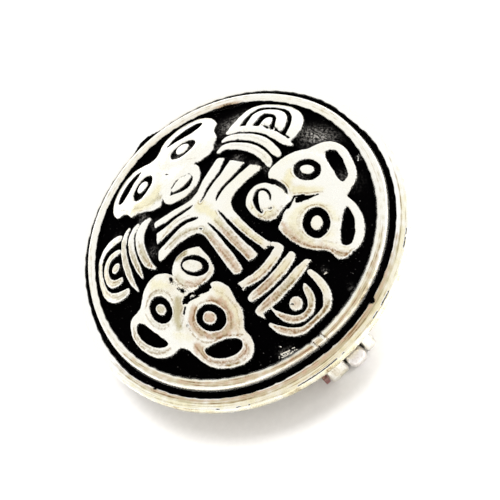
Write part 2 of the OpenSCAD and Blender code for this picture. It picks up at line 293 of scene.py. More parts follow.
# The ornament is read from the photo as outlines on the disc. A mask's own u runs to its right and its v
# outwards, an arm's too, and axis is the way that v points, in degrees. Ovals are middle, half widths and
# tilt, and bands, grooves and cuts are points with the width there.
masks = [
    dict(axis=90,      # the far mask
         edge=[(-0.3, 9.93), (0.08, 10.08), (0.5, 10.6), (0.95, 11.15), (1.6, 11.6), (2.3, 11.85),
               (3.1, 11.95), (3.9, 11.8), (4.5, 11.45), (5.0, 10.9), (5.35, 10.2), (5.55, 9.5), (5.58, 8.8),
               (5.45, 8.25), (4.95, 7.6), (4.8, 7.0), (4.7, 6.5), (4.27, 5.92), (3.75, 5.3), (3.2, 5.08),
               (2.2, 5.08), (1.85, 5.3), (1.0, 5.7), (-0.5, 5.8), (-1.6, 5.3), (-2.15, 4.75), (-2.5, 4.42),
               (-2.95, 4.5), (-3.45, 4.95), (-3.9, 5.5), (-4.4, 6.0), (-5.0, 6.45), (-5.12, 7.2),
               (-5.35, 7.72), (-5.85, 8.1), (-6.05, 8.7), (-6.0, 9.5), (-5.75, 10.15), (-5.3, 10.8),
               (-4.75, 11.3), (-4.1, 11.68), (-3.4, 11.8), (-2.7, 11.65), (-2.1, 11.35), (-1.55, 10.84),
               (-1.0, 10.3), (-0.65, 10.02)],
         ears=[[(-5.17, 9.65), (-5.02, 10.0), (-4.6, 10.35), (-4.0, 10.65), (-3.3, 10.8), (-2.6, 10.74),
                (-2.1, 10.53), (-1.85, 10.22), (-2.3, 10.05), (-3.0, 9.88), (-3.8, 9.52), (-4.6, 9.22),
                (-4.95, 9.25)],
               [(1.05, 10.12), (1.5, 10.45), (2.1, 10.7), (2.8, 10.78), (3.6, 10.74), (4.2, 10.58),
                (4.6, 10.3), (4.72, 9.9), (4.4, 9.5), (3.9, 9.38), (3.3, 9.48), (2.6, 9.72), (1.9, 9.95)]],
         eyes=[(-2.7, 8.0, 1.3, 0.97, 28), (1.95, 8.03, 1.27, 0.93, -10)],
         pupils=[(-2.66, 8.13, 0.57, 0.55, 20), (1.95, 8.13, 0.6, 0.62, 0)],
         nose=[(-0.9, 6.0), (0.6, 6.0), (1.5, 5.6), (1.9, 5.0), (1.78, 4.25), (1.5, 3.7), (1.0, 3.22),
               (0.4, 3.0), (-0.3, 2.97), (-1.0, 3.15), (-1.7, 3.5), (-2.1, 4.0), (-2.1, 4.6), (-1.9, 5.3)],
         ball=(-0.1, 4.6, 1.95, 1.6), swell=0.1,
         nostrils=[],
         cuts=[[(-1.2, 4.3, 0.06), (-0.8, 4.04, 0.26), (-0.1, 3.8, 0.44), (0.5, 3.87, 0.38),
                (0.93, 4.14, 0.1)],
               [(-1.1, 4.78, 0.06), (-0.6, 4.97, 0.1), (-0.2, 5.07, 0.08), (0.3, 5.0, 0.05),
                (0.65, 4.78, 0.03)], [(0.9, 4.75, 0.04), (0.97, 4.4, 0.06), (0.93, 4.15, 0.08)],
               [(-1.32, 4.3, 0.08), (-1.15, 4.48, 0.06)], [(-0.52, 6.88, 0.1), (-0.36, 6.62, 0.08)],
               [(-5.3, 8.5, 0.03), (-5.1, 8.1, 0.05)]],
         folds=[]),
    dict(axis=-31,     # the right mask
         edge=[(0.25, 10.68), (0.6, 10.9), (1.0, 11.15), (1.7, 11.42), (2.5, 11.52), (3.4, 11.42),
               (4.2, 11.12), (4.75, 10.7), (5.15, 10.25), (5.5, 9.85), (5.66, 9.4), (5.55, 9.05),
               (5.2, 8.78), (4.95, 8.4), (4.87, 7.8), (4.64, 7.0), (4.27, 6.42), (3.9, 6.0), (3.4, 5.68),
               (2.8, 5.35), (2.35, 5.58), (1.7, 5.85), (0.4, 5.8), (-0.6, 5.75), (-1.4, 5.4), (-1.95, 5.13),
               (-2.6, 5.2), (-3.05, 5.52), (-3.45, 5.94), (-3.88, 6.44), (-4.28, 7.02), (-4.52, 7.7),
               (-4.62, 8.2), (-4.92, 8.7), (-5.2, 9.1), (-5.36, 9.5), (-5.38, 10.0), (-5.15, 10.42),
               (-4.7, 10.85), (-4.0, 11.15), (-3.2, 11.38), (-2.3, 11.53), (-1.6, 11.5), (-0.95, 11.28),
               (-0.3, 10.95)],
         ears=[[(-1.05, 10.5), (-1.3, 10.75), (-1.7, 10.95), (-2.1, 10.98), (-2.8, 10.82), (-3.4, 10.7),
                (-3.9, 10.5), (-4.35, 10.28), (-4.48, 9.9), (-4.3, 9.5), (-3.9, 9.4), (-3.0, 9.63),
                (-2.0, 9.98), (-1.4, 10.2)],
               [(1.25, 10.55), (1.65, 10.8), (2.3, 10.93), (3.2, 10.85), (3.9, 10.66), (4.42, 10.35),
                (4.62, 10.0), (4.52, 9.7), (4.2, 9.63), (3.5, 9.73), (2.6, 9.98), (1.8, 10.22)]],
         eyes=[(-2.38, 8.08, 1.13, 1.04, 0), (2.6, 8.2, 1.38, 1.0, -15)],
         pupils=[(-2.4, 8.08, 0.45, 0.5, -15), (2.64, 8.22, 0.63, 0.39, -18)],
         nose=[(0.2, 6.5), (0.8, 6.2), (1.4, 5.85), (1.85, 5.4), (2.03, 4.8), (1.93, 4.3), (1.5, 3.75),
               (0.9, 3.35), (0.3, 3.12), (-0.42, 3.22), (-1.05, 3.62), (-1.45, 4.15), (-1.5, 4.7),
               (-1.3, 5.2), (-0.95, 5.7), (-0.35, 6.22)],
         ball=(0.2, 4.8, 1.85, 1.75), swell=0.16,
         nostrils=[],
         cuts=[[(0.3, 5.1, 0.05), (-0.17, 5.12, 0.14), (-0.63, 4.95, 0.23), (-0.87, 4.6, 0.2),
                (-0.8, 4.2, 0.26), (-0.42, 4.02, 0.36), (0.05, 3.95, 0.42), (0.62, 4.01, 0.32),
                (1.05, 4.16, 0.18), (1.3, 4.32, 0.07)], [(0.95, 5.08, 0.05), (1.05, 4.98, 0.07)],
               [(1.0, 4.35, 0.05), (1.2, 4.42, 0.08)],
               [(0.1, 8.7, 0.03), (0.16, 8.4, 0.1), (0.25, 8.0, 0.26), (0.34, 7.5, 0.44),
                (0.45, 7.14, 0.44), (0.7, 7.02, 0.12)],
               [(0.05, 7.6, 0.06), (0.04, 7.2, 0.12), (0.06, 6.85, 0.14)],
               [(0.08, 6.78, 0.16), (0.35, 6.68, 0.14), (0.65, 6.52, 0.18), (0.9, 6.32, 0.2),
                (1.3, 6.02, 0.14), (1.7, 5.72, 0.16), (2.0, 5.42, 0.22), (2.2, 5.2, 0.3)],
               [(-0.25, 6.36, 0.08), (-0.75, 6.22, 0.28), (-1.17, 5.9, 0.4), (-1.54, 5.5, 0.38),
                (-1.72, 5.1, 0.32)]],
         folds=[[(-0.9, 6.4), (0.2, 6.6), (1.0, 6.3)]]),
    dict(axis=-149,    # the left mask
         edge=[(-0.1, 10.68), (0.3, 10.85), (0.65, 11.15), (1.1, 11.42), (1.7, 11.6), (2.4, 11.66),
               (3.2, 11.58), (4.0, 11.32), (4.7, 10.95), (5.2, 10.5), (5.45, 10.0), (5.52, 9.5),
               (5.35, 9.12), (4.9, 8.75), (4.6, 8.38), (4.52, 7.8), (4.45, 7.2), (4.2, 6.6), (3.8, 6.1),
               (3.3, 5.75), (2.6, 5.57), (1.9, 5.6), (1.2, 5.75), (0.4, 5.85), (-0.3, 5.9), (-0.45, 6.46),
               (-0.85, 6.53), (-1.28, 6.36), (-1.7, 6.17), (-2.1, 5.98), (-1.9, 5.7), (-2.3, 5.4),
               (-3.1, 5.45), (-3.6, 5.7), (-3.98, 6.1), (-4.4, 6.55), (-4.85, 6.85), (-5.03, 7.3),
               (-5.15, 7.9), (-5.28, 8.35), (-5.75, 8.62), (-6.08, 9.1), (-6.12, 9.6), (-5.9, 10.15),
               (-5.3, 10.7), (-4.5, 11.12), (-3.7, 11.38), (-2.9, 11.47), (-2.1, 11.35), (-1.4, 11.08),
               (-0.75, 10.78)],
         ears=[[(-2.1, 10.45), (-2.3, 10.72), (-2.9, 10.86), (-3.7, 10.72), (-4.5, 10.35), (-5.0, 9.95),
                (-5.25, 9.5), (-5.15, 9.12), (-4.75, 9.02), (-4.0, 9.22), (-3.2, 9.65), (-2.5, 10.1)],
               [(1.28, 10.6), (1.55, 10.85), (2.1, 11.0), (2.9, 11.0), (3.7, 10.82), (4.3, 10.5),
                (4.75, 10.1), (4.78, 9.6), (4.5, 9.42), (3.9, 9.5), (3.1, 9.82), (2.2, 10.15),
                (1.6, 10.38)]],
         eyes=[(-2.4, 8.12, 1.35, 0.99, 6), (2.36, 8.3, 1.27, 0.94, -22)],
         pupils=[(-2.28, 8.15, 0.6, 0.45, 14), (2.35, 8.28, 0.54, 0.36, -10)],
         nose=[(-0.1, 6.5), (0.6, 6.42), (1.35, 6.0), (1.8, 5.5), (1.92, 4.95), (1.85, 4.45), (1.6, 4.0),
               (1.1, 3.55), (0.5, 3.22), (-0.08, 3.02), (-0.6, 3.3), (-1.1, 3.62), (-1.6, 4.02),
               (-1.92, 4.55), (-1.82, 5.1), (-1.5, 5.6), (-1.1, 6.0), (-0.6, 6.35)],
         ball=(0, 4.75, 1.9, 1.7), swell=0.16,
         nostrils=[(-0.17, 4.58, 1.34, 0.84, 0), (0.04, 4.64, 0.93, 0.45, 4)],
         cuts=[[(0.3, 7.5, 0.16), (0.18, 7.2, 0.26), (0.0, 6.95, 0.26), (-0.1, 6.72, 0.2)],
               [(0.05, 7.4, 0.16), (-0.35, 7.08, 0.2), (-0.75, 6.9, 0.14), (-1.0, 6.8, 0.07)],
               [(-0.3, 6.62, 0.1), (-0.8, 6.62, 0.15), (-1.3, 6.42, 0.16), (-1.8, 6.16, 0.2)],
               [(0.08, 8.28, 0.14), (0.1, 8.1, 0.16)], [(0.07, 7.92, 0.14), (0.1, 7.78, 0.14)],
               [(0.5, 6.62, 0.1), (0.75, 6.55, 0.14)], [(-0.43, 9.14, 0.16), (-0.4, 9.06, 0.18)],
               [(1.75, 6.05, 0.06), (1.95, 5.85, 0.2)], [(0.9, 6.55, 0.05), (1.1, 6.48, 0.09)],
               [(0.45, 6.7, 0.05), (0.6, 6.66, 0.07)]],
         folds=[[(-0.7, 6.5), (0.2, 6.62), (1.0, 6.5), (1.6, 6.15), (2.0, 5.8)]]),
]
arms = [
    dict(axis=-90,     # the arm towards the hinge
         bands=[[(-2.15, 6.4, 0.58), (-1.7, 6.54, 0.7), (-1, 6.75, 0.7), (0, 6.88, 0.7), (0.8, 6.86, 0.68),
                 (1.5, 6.68, 0.62), (2.02, 6.52, 0.5)], [(2.0, 6.7, 0.24), (2.28, 6.78, 0.14)],
                [(2.0, 6.38, 0.24), (2.25, 6.24, 0.14)], [(-2.2, 6.2, 0.4), (-1.9, 5.75, 0.3)],
                [(-2.45, 7.38, 0.52), (-1.8, 7.6, 0.7), (-1, 7.76, 0.74), (0, 7.86, 0.7), (1, 7.84, 0.7),
                 (1.8, 7.75, 0.64), (2.3, 7.68, 0.5)],
                [(-3.0, 8.42, 0.3), (-2.6, 8.53, 0.54), (-1.8, 8.66, 0.68), (-0.8, 8.8, 0.68),
                 (0.2, 8.87, 0.68), (1.2, 8.86, 0.7), (2.0, 8.8, 0.66), (2.6, 8.74, 0.5)],
                [(-3.0, 8.5, 0.2), (-3.22, 8.54, 0.1)], [(2.66, 8.85, 0.3), (2.56, 9.3, 0.14)],
                [(-2.56, 9.2, 0.42), (-2.64, 9.7, 0.54), (-2.62, 10.3, 0.6), (-2.42, 10.95, 0.62),
                 (-1.9, 11.5, 0.54), (-1.3, 11.75, 0.4), (-0.3, 11.81, 0.36), (0.6, 11.8, 0.38),
                 (1.3, 11.62, 0.48), (1.93, 11.14, 0.56), (2.38, 10.58, 0.52), (2.6, 9.98, 0.28)],
                [(-1.58, 9.6, 0.14), (-1.4, 10.08, 0.58), (-1.18, 10.62, 0.54), (-0.6, 11.08, 0.46),
                 (0.1, 11.19, 0.44), (0.8, 10.95, 0.5), (1.33, 10.45, 0.56), (1.55, 9.95, 0.42),
                 (1.65, 9.55, 0.15), (1.63, 9.15, 0.14)]],
         dots=[(-0.03, 10.18, 0.56, 0.45, 0)],
         cuts=[[(0.22, 10.04, 0.05), (0.25, 10.0, 0.06)]]),
    dict(axis=30,      # the far right arm
         bands=[[(-1.98, 5.7, 0.36), (-1.75, 6.28, 0.6), (-1.0, 6.57, 0.78), (-0.2, 6.68, 0.8),
                 (0.6, 6.65, 0.8), (1.4, 6.46, 0.76), (2.1, 6.14, 0.72), (2.7, 5.75, 0.64),
                 (3.0, 5.35, 0.36)],
                [(-2.2, 6.95, 0.42), (-1.95, 7.3, 0.62), (-1.2, 7.6, 0.76), (-0.3, 7.77, 0.76),
                 (0.5, 7.78, 0.78), (1.3, 7.62, 0.76), (2.1, 7.26, 0.7), (2.8, 6.85, 0.66),
                 (3.2, 6.55, 0.4)],
                [(-2.38, 7.95, 0.5), (-1.7, 8.42, 0.76), (-0.8, 8.7, 0.72), (0.2, 8.8, 0.66),
                 (1.2, 8.72, 0.7), (2.1, 8.42, 0.68), (2.9, 8.12, 0.6), (3.5, 7.94, 0.34)],
                [(-2.22, 8.4, 0.8), (-2.32, 9.5, 0.68), (-2.36, 10.5, 0.62), (-2.2, 11.3, 0.62),
                 (-1.7, 11.85, 0.5), (-0.8, 12.08, 0.48), (0.1, 12.17, 0.46), (0.9, 12.02, 0.5),
                 (1.58, 11.68, 0.66), (2.18, 11.1, 0.8), (2.58, 10.42, 0.9), (2.82, 9.7, 0.92),
                 (2.92, 9.0, 0.8), (3.0, 8.4, 0.6)],
                [(-1.06, 9.0, 0.54), (-1.2, 9.9, 0.68), (-1.26, 10.6, 0.72), (-0.95, 11.08, 0.6),
                 (-0.3, 11.27, 0.6), (0.3, 11.2, 0.7), (0.85, 10.85, 0.78), (1.25, 10.25, 0.82),
                 (1.5, 9.6, 0.8), (1.62, 9.1, 0.7)],
                [(0.32, 9.1, 1.02), (0.22, 9.6, 0.84), (0.1, 10.0, 0.72), (0.08, 10.18, 0.62)]],
         dots=[],
         cuts=[[(0.15, 9.35, 0.05), (0.55, 9.22, 0.14), (0.85, 9.12, 0.06)],
               [(1.25, 9.35, 0.08), (1.6, 9.1, 0.14), (2.0, 8.98, 0.08)],
               [(2.55, 8.8, 0.14), (2.95, 8.6, 0.18)]]),
    dict(axis=150,     # the left arm
         bands=[[(-2.8, 5.72, 0.2), (-2.4, 6.15, 0.52), (-1.7, 6.52, 0.78), (-0.8, 6.8, 0.84),
                 (0.1, 6.9, 0.88), (0.9, 6.76, 0.95), (1.45, 6.3, 0.84), (1.72, 5.72, 0.42)],
                [(-2.95, 7.15, 0.16), (-2.2, 7.38, 0.46), (-1.4, 7.62, 0.56), (-0.6, 7.8, 0.6),
                 (0.2, 7.88, 0.66), (1.0, 7.78, 0.62), (1.55, 7.4, 0.56), (1.82, 6.95, 0.34)],
                [(-3.68, 7.88, 0.16), (-3.0, 8.22, 0.4), (-2.0, 8.5, 0.6), (-1.0, 8.7, 0.64),
                 (0, 8.78, 0.6), (1.0, 8.65, 0.6), (1.6, 8.4, 0.55), (2.0, 7.98, 0.34)],
                [(-3.2, 9.05, 0.52), (-3.15, 9.7, 0.66), (-2.95, 10.4, 0.7), (-2.55, 11.05, 0.66),
                 (-1.9, 11.58, 0.62), (-1.1, 11.87, 0.56), (-0.2, 12.0, 0.54), (0.7, 11.96, 0.54),
                 (1.4, 11.75, 0.62), (1.85, 11.2, 0.64), (2.0, 10.5, 0.7), (1.95, 9.7, 0.68),
                 (1.82, 9.05, 0.48)],
                [(-1.92, 9.5, 0.45), (-1.88, 10.0, 0.56), (-1.65, 10.55, 0.58), (-1.15, 11.0, 0.56),
                 (-0.5, 11.2, 0.56), (0.15, 11.12, 0.62), (0.62, 10.75, 0.62), (0.75, 10.2, 0.52),
                 (0.72, 9.7, 0.48), (0.6, 9.25, 0.3)]],
         dots=[(-0.57, 9.93, 0.38, 0.48, 0)],
         cuts=[[(0.4, 8.42, 0.05), (0.7, 8.38, 0.08)]]),
]
knot = dict(           # the arms' strands run together in the middle, in the disc's own x and y
    edge=[(-1.58, -1.4), (-1.72, -2.6), (-1.88, -4.0), (-1.98, -5.0), (-1.95, -5.5), (-1.5, -5.75),
          (-1.1, -5.65), (-0.45, -5.55), (0.1, -5.68), (0.6, -5.65), (1.15, -5.75), (1.9, -5.7),
          (1.78, -5.2), (1.58, -4.2), (1.48, -2.8), (1.48, -1.6), (1.62, -1.0), (1.95, -0.495),
          (2.6, -0.165), (3.5, 0.005), (4.5, 0.155), (5.5, 0.235), (5.5, 0.755), (5.15, 1.155),
          (4.95, 1.655), (4.6, 2.255), (4.15, 2.905), (3.95, 3.405), (3.5, 3.955), (2.6, 3.555),
          (1.7, 3.155), (0.9, 2.735), (0.3, 2.415), (-0.45, 2.315), (-1.2, 2.495), (-2.0, 2.835),
          (-2.9, 3.175), (-3.85, 3.555), (-4.1, 3.255), (-4.4, 2.555), (-4.72, 2.155), (-4.95, 1.705),
          (-5.2, 1.255), (-5.7, 0.475), (-4.5, 0.215), (-3.4, 0.035), (-2.5, -0.295), (-1.9, -0.6),
          (-1.66, -1.0)],
    grooves=[[(-0.7, -0.7, 0.05), (-0.66, -1.2, 0.17), (-0.63, -2.2, 0.25), (-0.66, -3.2, 0.32),
              (-0.68, -4.3, 0.44), (-0.76, -5.3, 0.6), (-0.8, -6.1, 0.75)],
             [(0.6, -0.465, 0.06), (0.59, -1.0, 0.17), (0.57, -2.0, 0.25), (0.58, -3.0, 0.3),
              (0.64, -4.2, 0.42), (0.8, -5.2, 0.5), (0.88, -6.1, 0.62)],
             [(0.02, 1.415, 0.05), (0.5, 1.575, 0.12), (1.0, 1.855, 0.24), (1.8, 2.155, 0.24),
              (2.6, 2.375, 0.26), (3.2, 2.675, 0.34), (3.8, 3.055, 0.5), (4.6, 3.605, 0.66)],
             [(1.05, 0.425, 0.08), (1.5, 0.735, 0.22), (2.1, 0.975, 0.25), (3.0, 1.115, 0.27),
              (4.0, 1.295, 0.36), (4.8, 1.455, 0.46), (5.8, 1.655, 0.6)],
             [(-0.62, 1.735, 0.08), (-1.1, 1.835, 0.2), (-1.8, 2.035, 0.26), (-2.6, 2.275, 0.3),
              (-3.3, 2.455, 0.38), (-4.0, 2.755, 0.5), (-4.8, 3.105, 0.62)],
             [(-1.0, 0.405, 0.1), (-1.4, 0.705, 0.28), (-1.9, 1.005, 0.32), (-2.6, 1.205, 0.36),
              (-3.5, 1.315, 0.4), (-4.4, 1.395, 0.46), (-5.6, 1.575, 0.58)],
             [(-1.5, -0.465, 0.06), (-1.4, -0.64, 0.12)]])

# rows and lift: the share of the rise at each distance inside the outlines. The mesh has a line of points
# on each row, and its points are spaced by cell, along and the fills.
relief = dict(rise=0.6, rows=(-0.10, -0.07, -0.042, -0.008, 0.03, 0.09, 0.25),
              lift=(0, 0.10, 0.62, 0.94, 0.985, 1.0, 1.0), fieldEdge=12.5, cell=0.05, along=0.125, turns=600,
              fillTop=0.24, fillGround=0.42, fillScratch=0.05, strokeRows=(-0.11, -0.04, 0.04, 0.11),
              groundRadius=18, groundTop=9.0, ringStart=11.4, ringTop=4.7, footRadius=12.7, footTop=4.15)
sculpt = dict(cheek=0.16, cheekU=2.6, cheekV=6.5, brow=0.06, browDip=0.05, forehead=0.08, foreheadV=9.6,
              valley=0.16, valleyV=7.2, fold=0.2, crown=0.02, uneven=0.012, grow=0.012, cut=0.035, pits=0.32,
              wander=(0.018, 0.45), jitter=(0.012, 0.17))      # how far the outlines stray, and its grain


def ripple(x, y, size):
    # a gentle, repeatable unevenness between about -1 and 1
    a, b = x / size, y / size
    return (np.sin(1.7 * a + 2.3 * b + 0.6) + np.sin(-2.6 * a + 1.1 * b + 2.1)
            + np.sin(3.9 * a + 0.7 * b + 4.0) + np.sin(0.9 * a - 3.4 * b + 1.2)) / 3


def curve(points, closed, steps=5):
    # smooth curve through given points, with any further columns carried along
    p = np.array(points, float)
    n = len(p)
    if closed:
        before, after, beyond = np.roll(p, 1, 0), np.roll(p, -1, 0), np.roll(p, -2, 0)
        spans = range(n)
    else:
        before, after = np.vstack([2 * p[0] - p[1], p[:-1]]), np.vstack([p[1:], 2 * p[-1] - p[-2]])
        beyond = np.vstack([p[2:], 2 * p[-1] - p[-2], 2 * p[-1] - p[-2]])
        spans = range(n - 1)
    made = []
    for i in spans:
        a, b, c, d = before[i], p[i], after[i], beyond[i]
        for t in np.arange(steps) / steps:
            made.append(0.5 * (2 * b + (c - a) * t + (2 * a - 5 * b + 4 * c - d) * t ** 2
                               + (3 * b - a - 3 * c + d) * t ** 3))
    if not closed:
        made.append(p[-1])
    return np.array(made)


def eachMark(table):
    return [(axis, *mark) for axis, marks in table for mark in marks]


def insideLoop(x, y, points):
    # distance inside a closed outline, less than 0 outside it
    loop = curve(points, True)
    best, inside = np.full(len(x), 1e9), np.zeros(len(x), bool)
    for (ax, ay), (bx, by) in zip(loop, np.roll(loop, -1, 0)):
        dx, dy = bx - ax, by - ay
        t = np.clip(((x - ax) * dx + (y - ay) * dy) / (dx * dx + dy * dy), 0, 1)
        best = np.minimum(best, (x - ax - t * dx) ** 2 + (y - ay - t * dy) ** 2)
        if dy:
            inside ^= ((ay > y) != (by > y)) & (x < ax + (y - ay) * dx / dy)
    return np.where(inside, 1, -1) * np.sqrt(best)


def insideOval(x, y, oval):
    cx, cy, rx, ry, tilt = oval
    c, s = math.cos(math.radians(tilt)), math.sin(math.radians(tilt))
    a, b = ((x - cx) * c + (y - cy) * s) / rx, ((y - cy) * c - (x - cx) * s) / ry
    size = np.hypot(a, b) + 1e-9
    return (1 - size) * size / np.hypot(a / rx, b / ry).clip(1e-6)


def insideBand(x, y, points):
    # distance inside a band given by its middle line and its widths
    line = curve(points, False)
    best = np.full(len(x), -1e9)
    for (ax, ay, aw), (bx, by, bw) in zip(line[:-1], line[1:]):
        dx, dy = bx - ax, by - ay
        t = np.clip(((x - ax) * dx + (y - ay) * dy) / (dx * dx + dy * dy + 1e-9), 0, 1)
        best = np.maximum(best, (aw + (bw - aw) * t) / 2 - np.hypot(x - ax - t * dx, y - ay - t * dy))
    return best


def ownAxes(x, y, axis):
    a = math.radians(axis)
    return x * math.sin(a) - y * math.cos(a), x * math.cos(a) + y * math.sin(a)


def maskField(u, v, m):
    field = insideLoop(u, v, m["edge"])
    for ear in m["ears"]:
        field = np.minimum(field, -insideLoop(u, v, ear))
    for eye, pupil in zip(m["eyes"], m["pupils"]):
        field = np.maximum(np.minimum(field, -insideOval(u, v, eye)), insideOval(u, v, pupil))
    nose = insideLoop(u, v, m["nose"])
    if m["nostrils"]:
        outer, inner = m["nostrils"]
        nose = np.maximum(np.minimum(nose, -insideOval(u, v, outer)), insideOval(u, v, inner))
    field = np.maximum(field, nose)
    for cut in m["cuts"]:
        field = np.minimum(field, -insideBand(u, v, cut) - sculpt["cut"])
    return field


def armField(u, v, arm):
    field = np.full(len(u), -1e9)
    for band in arm["bands"]:
        field = np.maximum(field, insideBand(u, v, band))
    for dot in arm["dots"]:
        field = np.maximum(field, insideOval(u, v, dot))
    for cut in arm["cuts"]:
        field = np.minimum(field, -insideBand(u, v, cut) - sculpt["cut"])
    return field


def ornamentField(x, y):
    field = insideLoop(x, y, knot["edge"])
    for groove in knot["grooves"]:
        field = np.minimum(field, -insideBand(x, y, groove) - sculpt["cut"])
    for motif, shape, low in [(m, maskField, 2.4) for m in masks] + [(a, armField, 5.0) for a in arms]:
        u, v = ownAxes(x, y, motif["axis"])
        near = (np.abs(u) < 6.8) & (v > low)
        part = np.full(len(x), -1e9)
        part[near] = shape(u[near], v[near], motif)
        field = np.maximum(field, part)
    for axis, u0, v0, reach in eachMark(ragged):
        u, v = ownAxes(x, y, axis)
        near = np.hypot(u - u0, v - v0) < 2 * reach
        pitted = np.clip(0.8 * ripple(x[near], y[near], 0.085) - 0.1, 0, 1)
        field[near] -= sculpt["pits"] * pitted * bell(np.hypot(u[near] - u0, v[near] - v0) / reach)
    (wander, coarse), (jitter, fine) = sculpt["wander"], sculpt["jitter"]
    return field + sculpt["grow"] + wander * ripple(x, y, coarse) + jitter * ripple(y + 3, x, fine)


def groundHeight(r):
    g = relief
    dome = g["groundTop"] - g["groundRadius"] + np.sqrt(g["groundRadius"] ** 2 - r ** 2)
    slope = (g["footTop"] - g["ringTop"]) / (g["footRadius"] - g["ringStart"])
    return np.maximum(dome, g["ringTop"] + slope * (r - g["ringStart"]) - 10.0 * (r < g["ringStart"]))


def bell(x):
    return np.exp(-x * x)


def maskSwell(u, v, m, s):
    # how far a mask's surface swells over, or sinks under, the level of the other ornament
    swell = np.zeros(len(u))
    for side in (-1, 1):
        swell += s["cheek"] * bell((u - side * s["cheekU"]) / 1.3) * bell((v - s["cheekV"]) / 0.95)
    for eye in m["eyes"]:
        out = -insideOval(u, v, eye)
        ridge, dip = s["brow"] * bell((out - 0.36) / 0.26), s["browDip"] * bell((out - 0.9) / 0.25)
        swell += ridge * (out > 0) - dip * (out > 0)
    swell += s["forehead"] * bell(u / 1.1) * bell((v - s["foreheadV"]) / 0.8)
    swell -= s["valley"] * bell(u / 0.5) * bell((v - s["valleyV"]) / 0.9)
    cx, cy, rx, ry = m["ball"]
    ball = np.hypot((u - cx) / rx, (v - cy) / ry)
    swell += m["swell"] * np.sqrt(np.clip(1 - ball ** 2, 0, 1))
    for fold in m["folds"]:
        swell -= s["fold"] * bell(np.clip(-insideBand(u, v, [(a, b, 0.02) for a, b in fold]), 0, 9) / 0.22)
    return swell


def reliefHeight(x, y, field):
    g, s = relief, sculpt
    lift = np.interp(field, g["rows"], g["lift"])
    r = np.hypot(x, y)
    ground = groundHeight(r)
    tops = g["groundTop"] - g["groundRadius"] + np.sqrt((g["groundRadius"] + g["rise"]) ** 2 - r ** 2)
    height = ground + (tops - ground) * lift
    swell = s["crown"] * np.clip(field, 0, 0.45) / 0.45 + s["uneven"] * ripple(x, y, 0.5)
    for m in masks:
        u, v = ownAxes(x, y, m["axis"])
        near = (np.abs(u) < 6.3) & (v > 2.8)
        swell[near] += maskSwell(u[near], v[near], m, s)
    return height + swell * np.clip(lift, 0, 1) ** 2 + 0.012 * ripple(x, y, 0.8) * (1 - lift)


def levelLines(field, level):
    # the closed lines on a grid where the field passes a level, as lists of (column, row)
    over = field > level
    flat, up = over[:, :-1] != over[:, 1:], over[:-1] != over[1:]
    flatId, upId = np.full(flat.shape, -1), np.full(up.shape, -1)
    flatId[flat] = np.arange(flat.sum())
    upId[up] = np.arange(up.sum()) + flat.sum()
    i, j = np.nonzero(flat)
    a, b = field[i, j] - level, field[i, j + 1] - level
    points = [np.stack([j + a / (a - b), i], 1)]
    i, j = np.nonzero(up)
    a, b = field[i, j] - level, field[i + 1, j] - level
    points.append(np.stack([j, i + a / (a - b)], 1))
    points = np.vstack(points)
    sides = np.stack([flatId[:-1], upId[:, 1:], flatId[1:], upId[:, :-1]], -1).reshape(-1, 4)
    middle = (field[:-1, :-1] + field[1:, 1:] + field[1:, :-1] + field[:-1, 1:]).reshape(-1) / 4 > level
    corner = over[:-1, :-1].reshape(-1)
    count = (sides >= 0).sum(1)
    links = [[] for _ in points]
    for k in np.nonzero(count)[0]:
        ids = [n for n in sides[k] if n >= 0]
        if len(ids) == 4 and middle[k] != corner[k]:      # a saddle, and the middle tells which sides meet
            ids = ids[3:] + ids[:3]
        for one, two in zip(ids[::2], ids[1::2]):
            links[one].append(two)
            links[two].append(one)
    seen, lines = np.zeros(len(points), bool), []
    for start in range(len(points)):
        if seen[start]:
            continue
        line, here = [], start
        while not seen[here]:
            seen[here] = True
            line.append(here)
            ahead = [n for n in links[here] if not seen[n]]
            if ahead:
                here = ahead[0]
        lines.append(points[line])
    return lines


def evenly(line, spacing):
    # a closed line walked in equal steps
    loop = (np.roll(line, 1, 0) + 2 * line + np.roll(line, -1, 0)) / 4
    loop = np.vstack([loop, loop[:1]])
    run = np.concatenate([[0], np.cumsum(np.hypot(*np.diff(loop, axis=0).T))])
    n = int(round(run[-1] / spacing))
    if n < 5:
        return None
    at = np.arange(n) * run[-1] / n
    return np.stack([np.interp(at, run, loop[:, 0]), np.interp(at, run, loop[:, 1])], 1)


def sampled(grid, x, y, g):
    # the field between the grid's points
    c, r = (x + g["fieldEdge"]) / g["cell"], (y + g["fieldEdge"]) / g["cell"]
    j, i = np.clip(c.astype(int), 0, grid.shape[1] - 2), np.clip(r.astype(int), 0, grid.shape[0] - 2)
    c, r = c - j, r - i
    return (grid[i, j] * (1 - c) * (1 - r) + grid[i, j + 1] * c * (1 - r) + grid[i + 1, j] * (1 - c) * r
            + grid[i + 1, j + 1] * c * r)


def honeycomb(spacing, reach):
    rows = np.arange(-reach, reach, spacing * math.sqrt(3) / 2)
    x, y = np.meshgrid(np.arange(-reach, reach, spacing), rows)
    x = x + (np.arange(len(rows)) % 2)[:, None] * spacing / 2
    return x.ravel(), y.ravel()


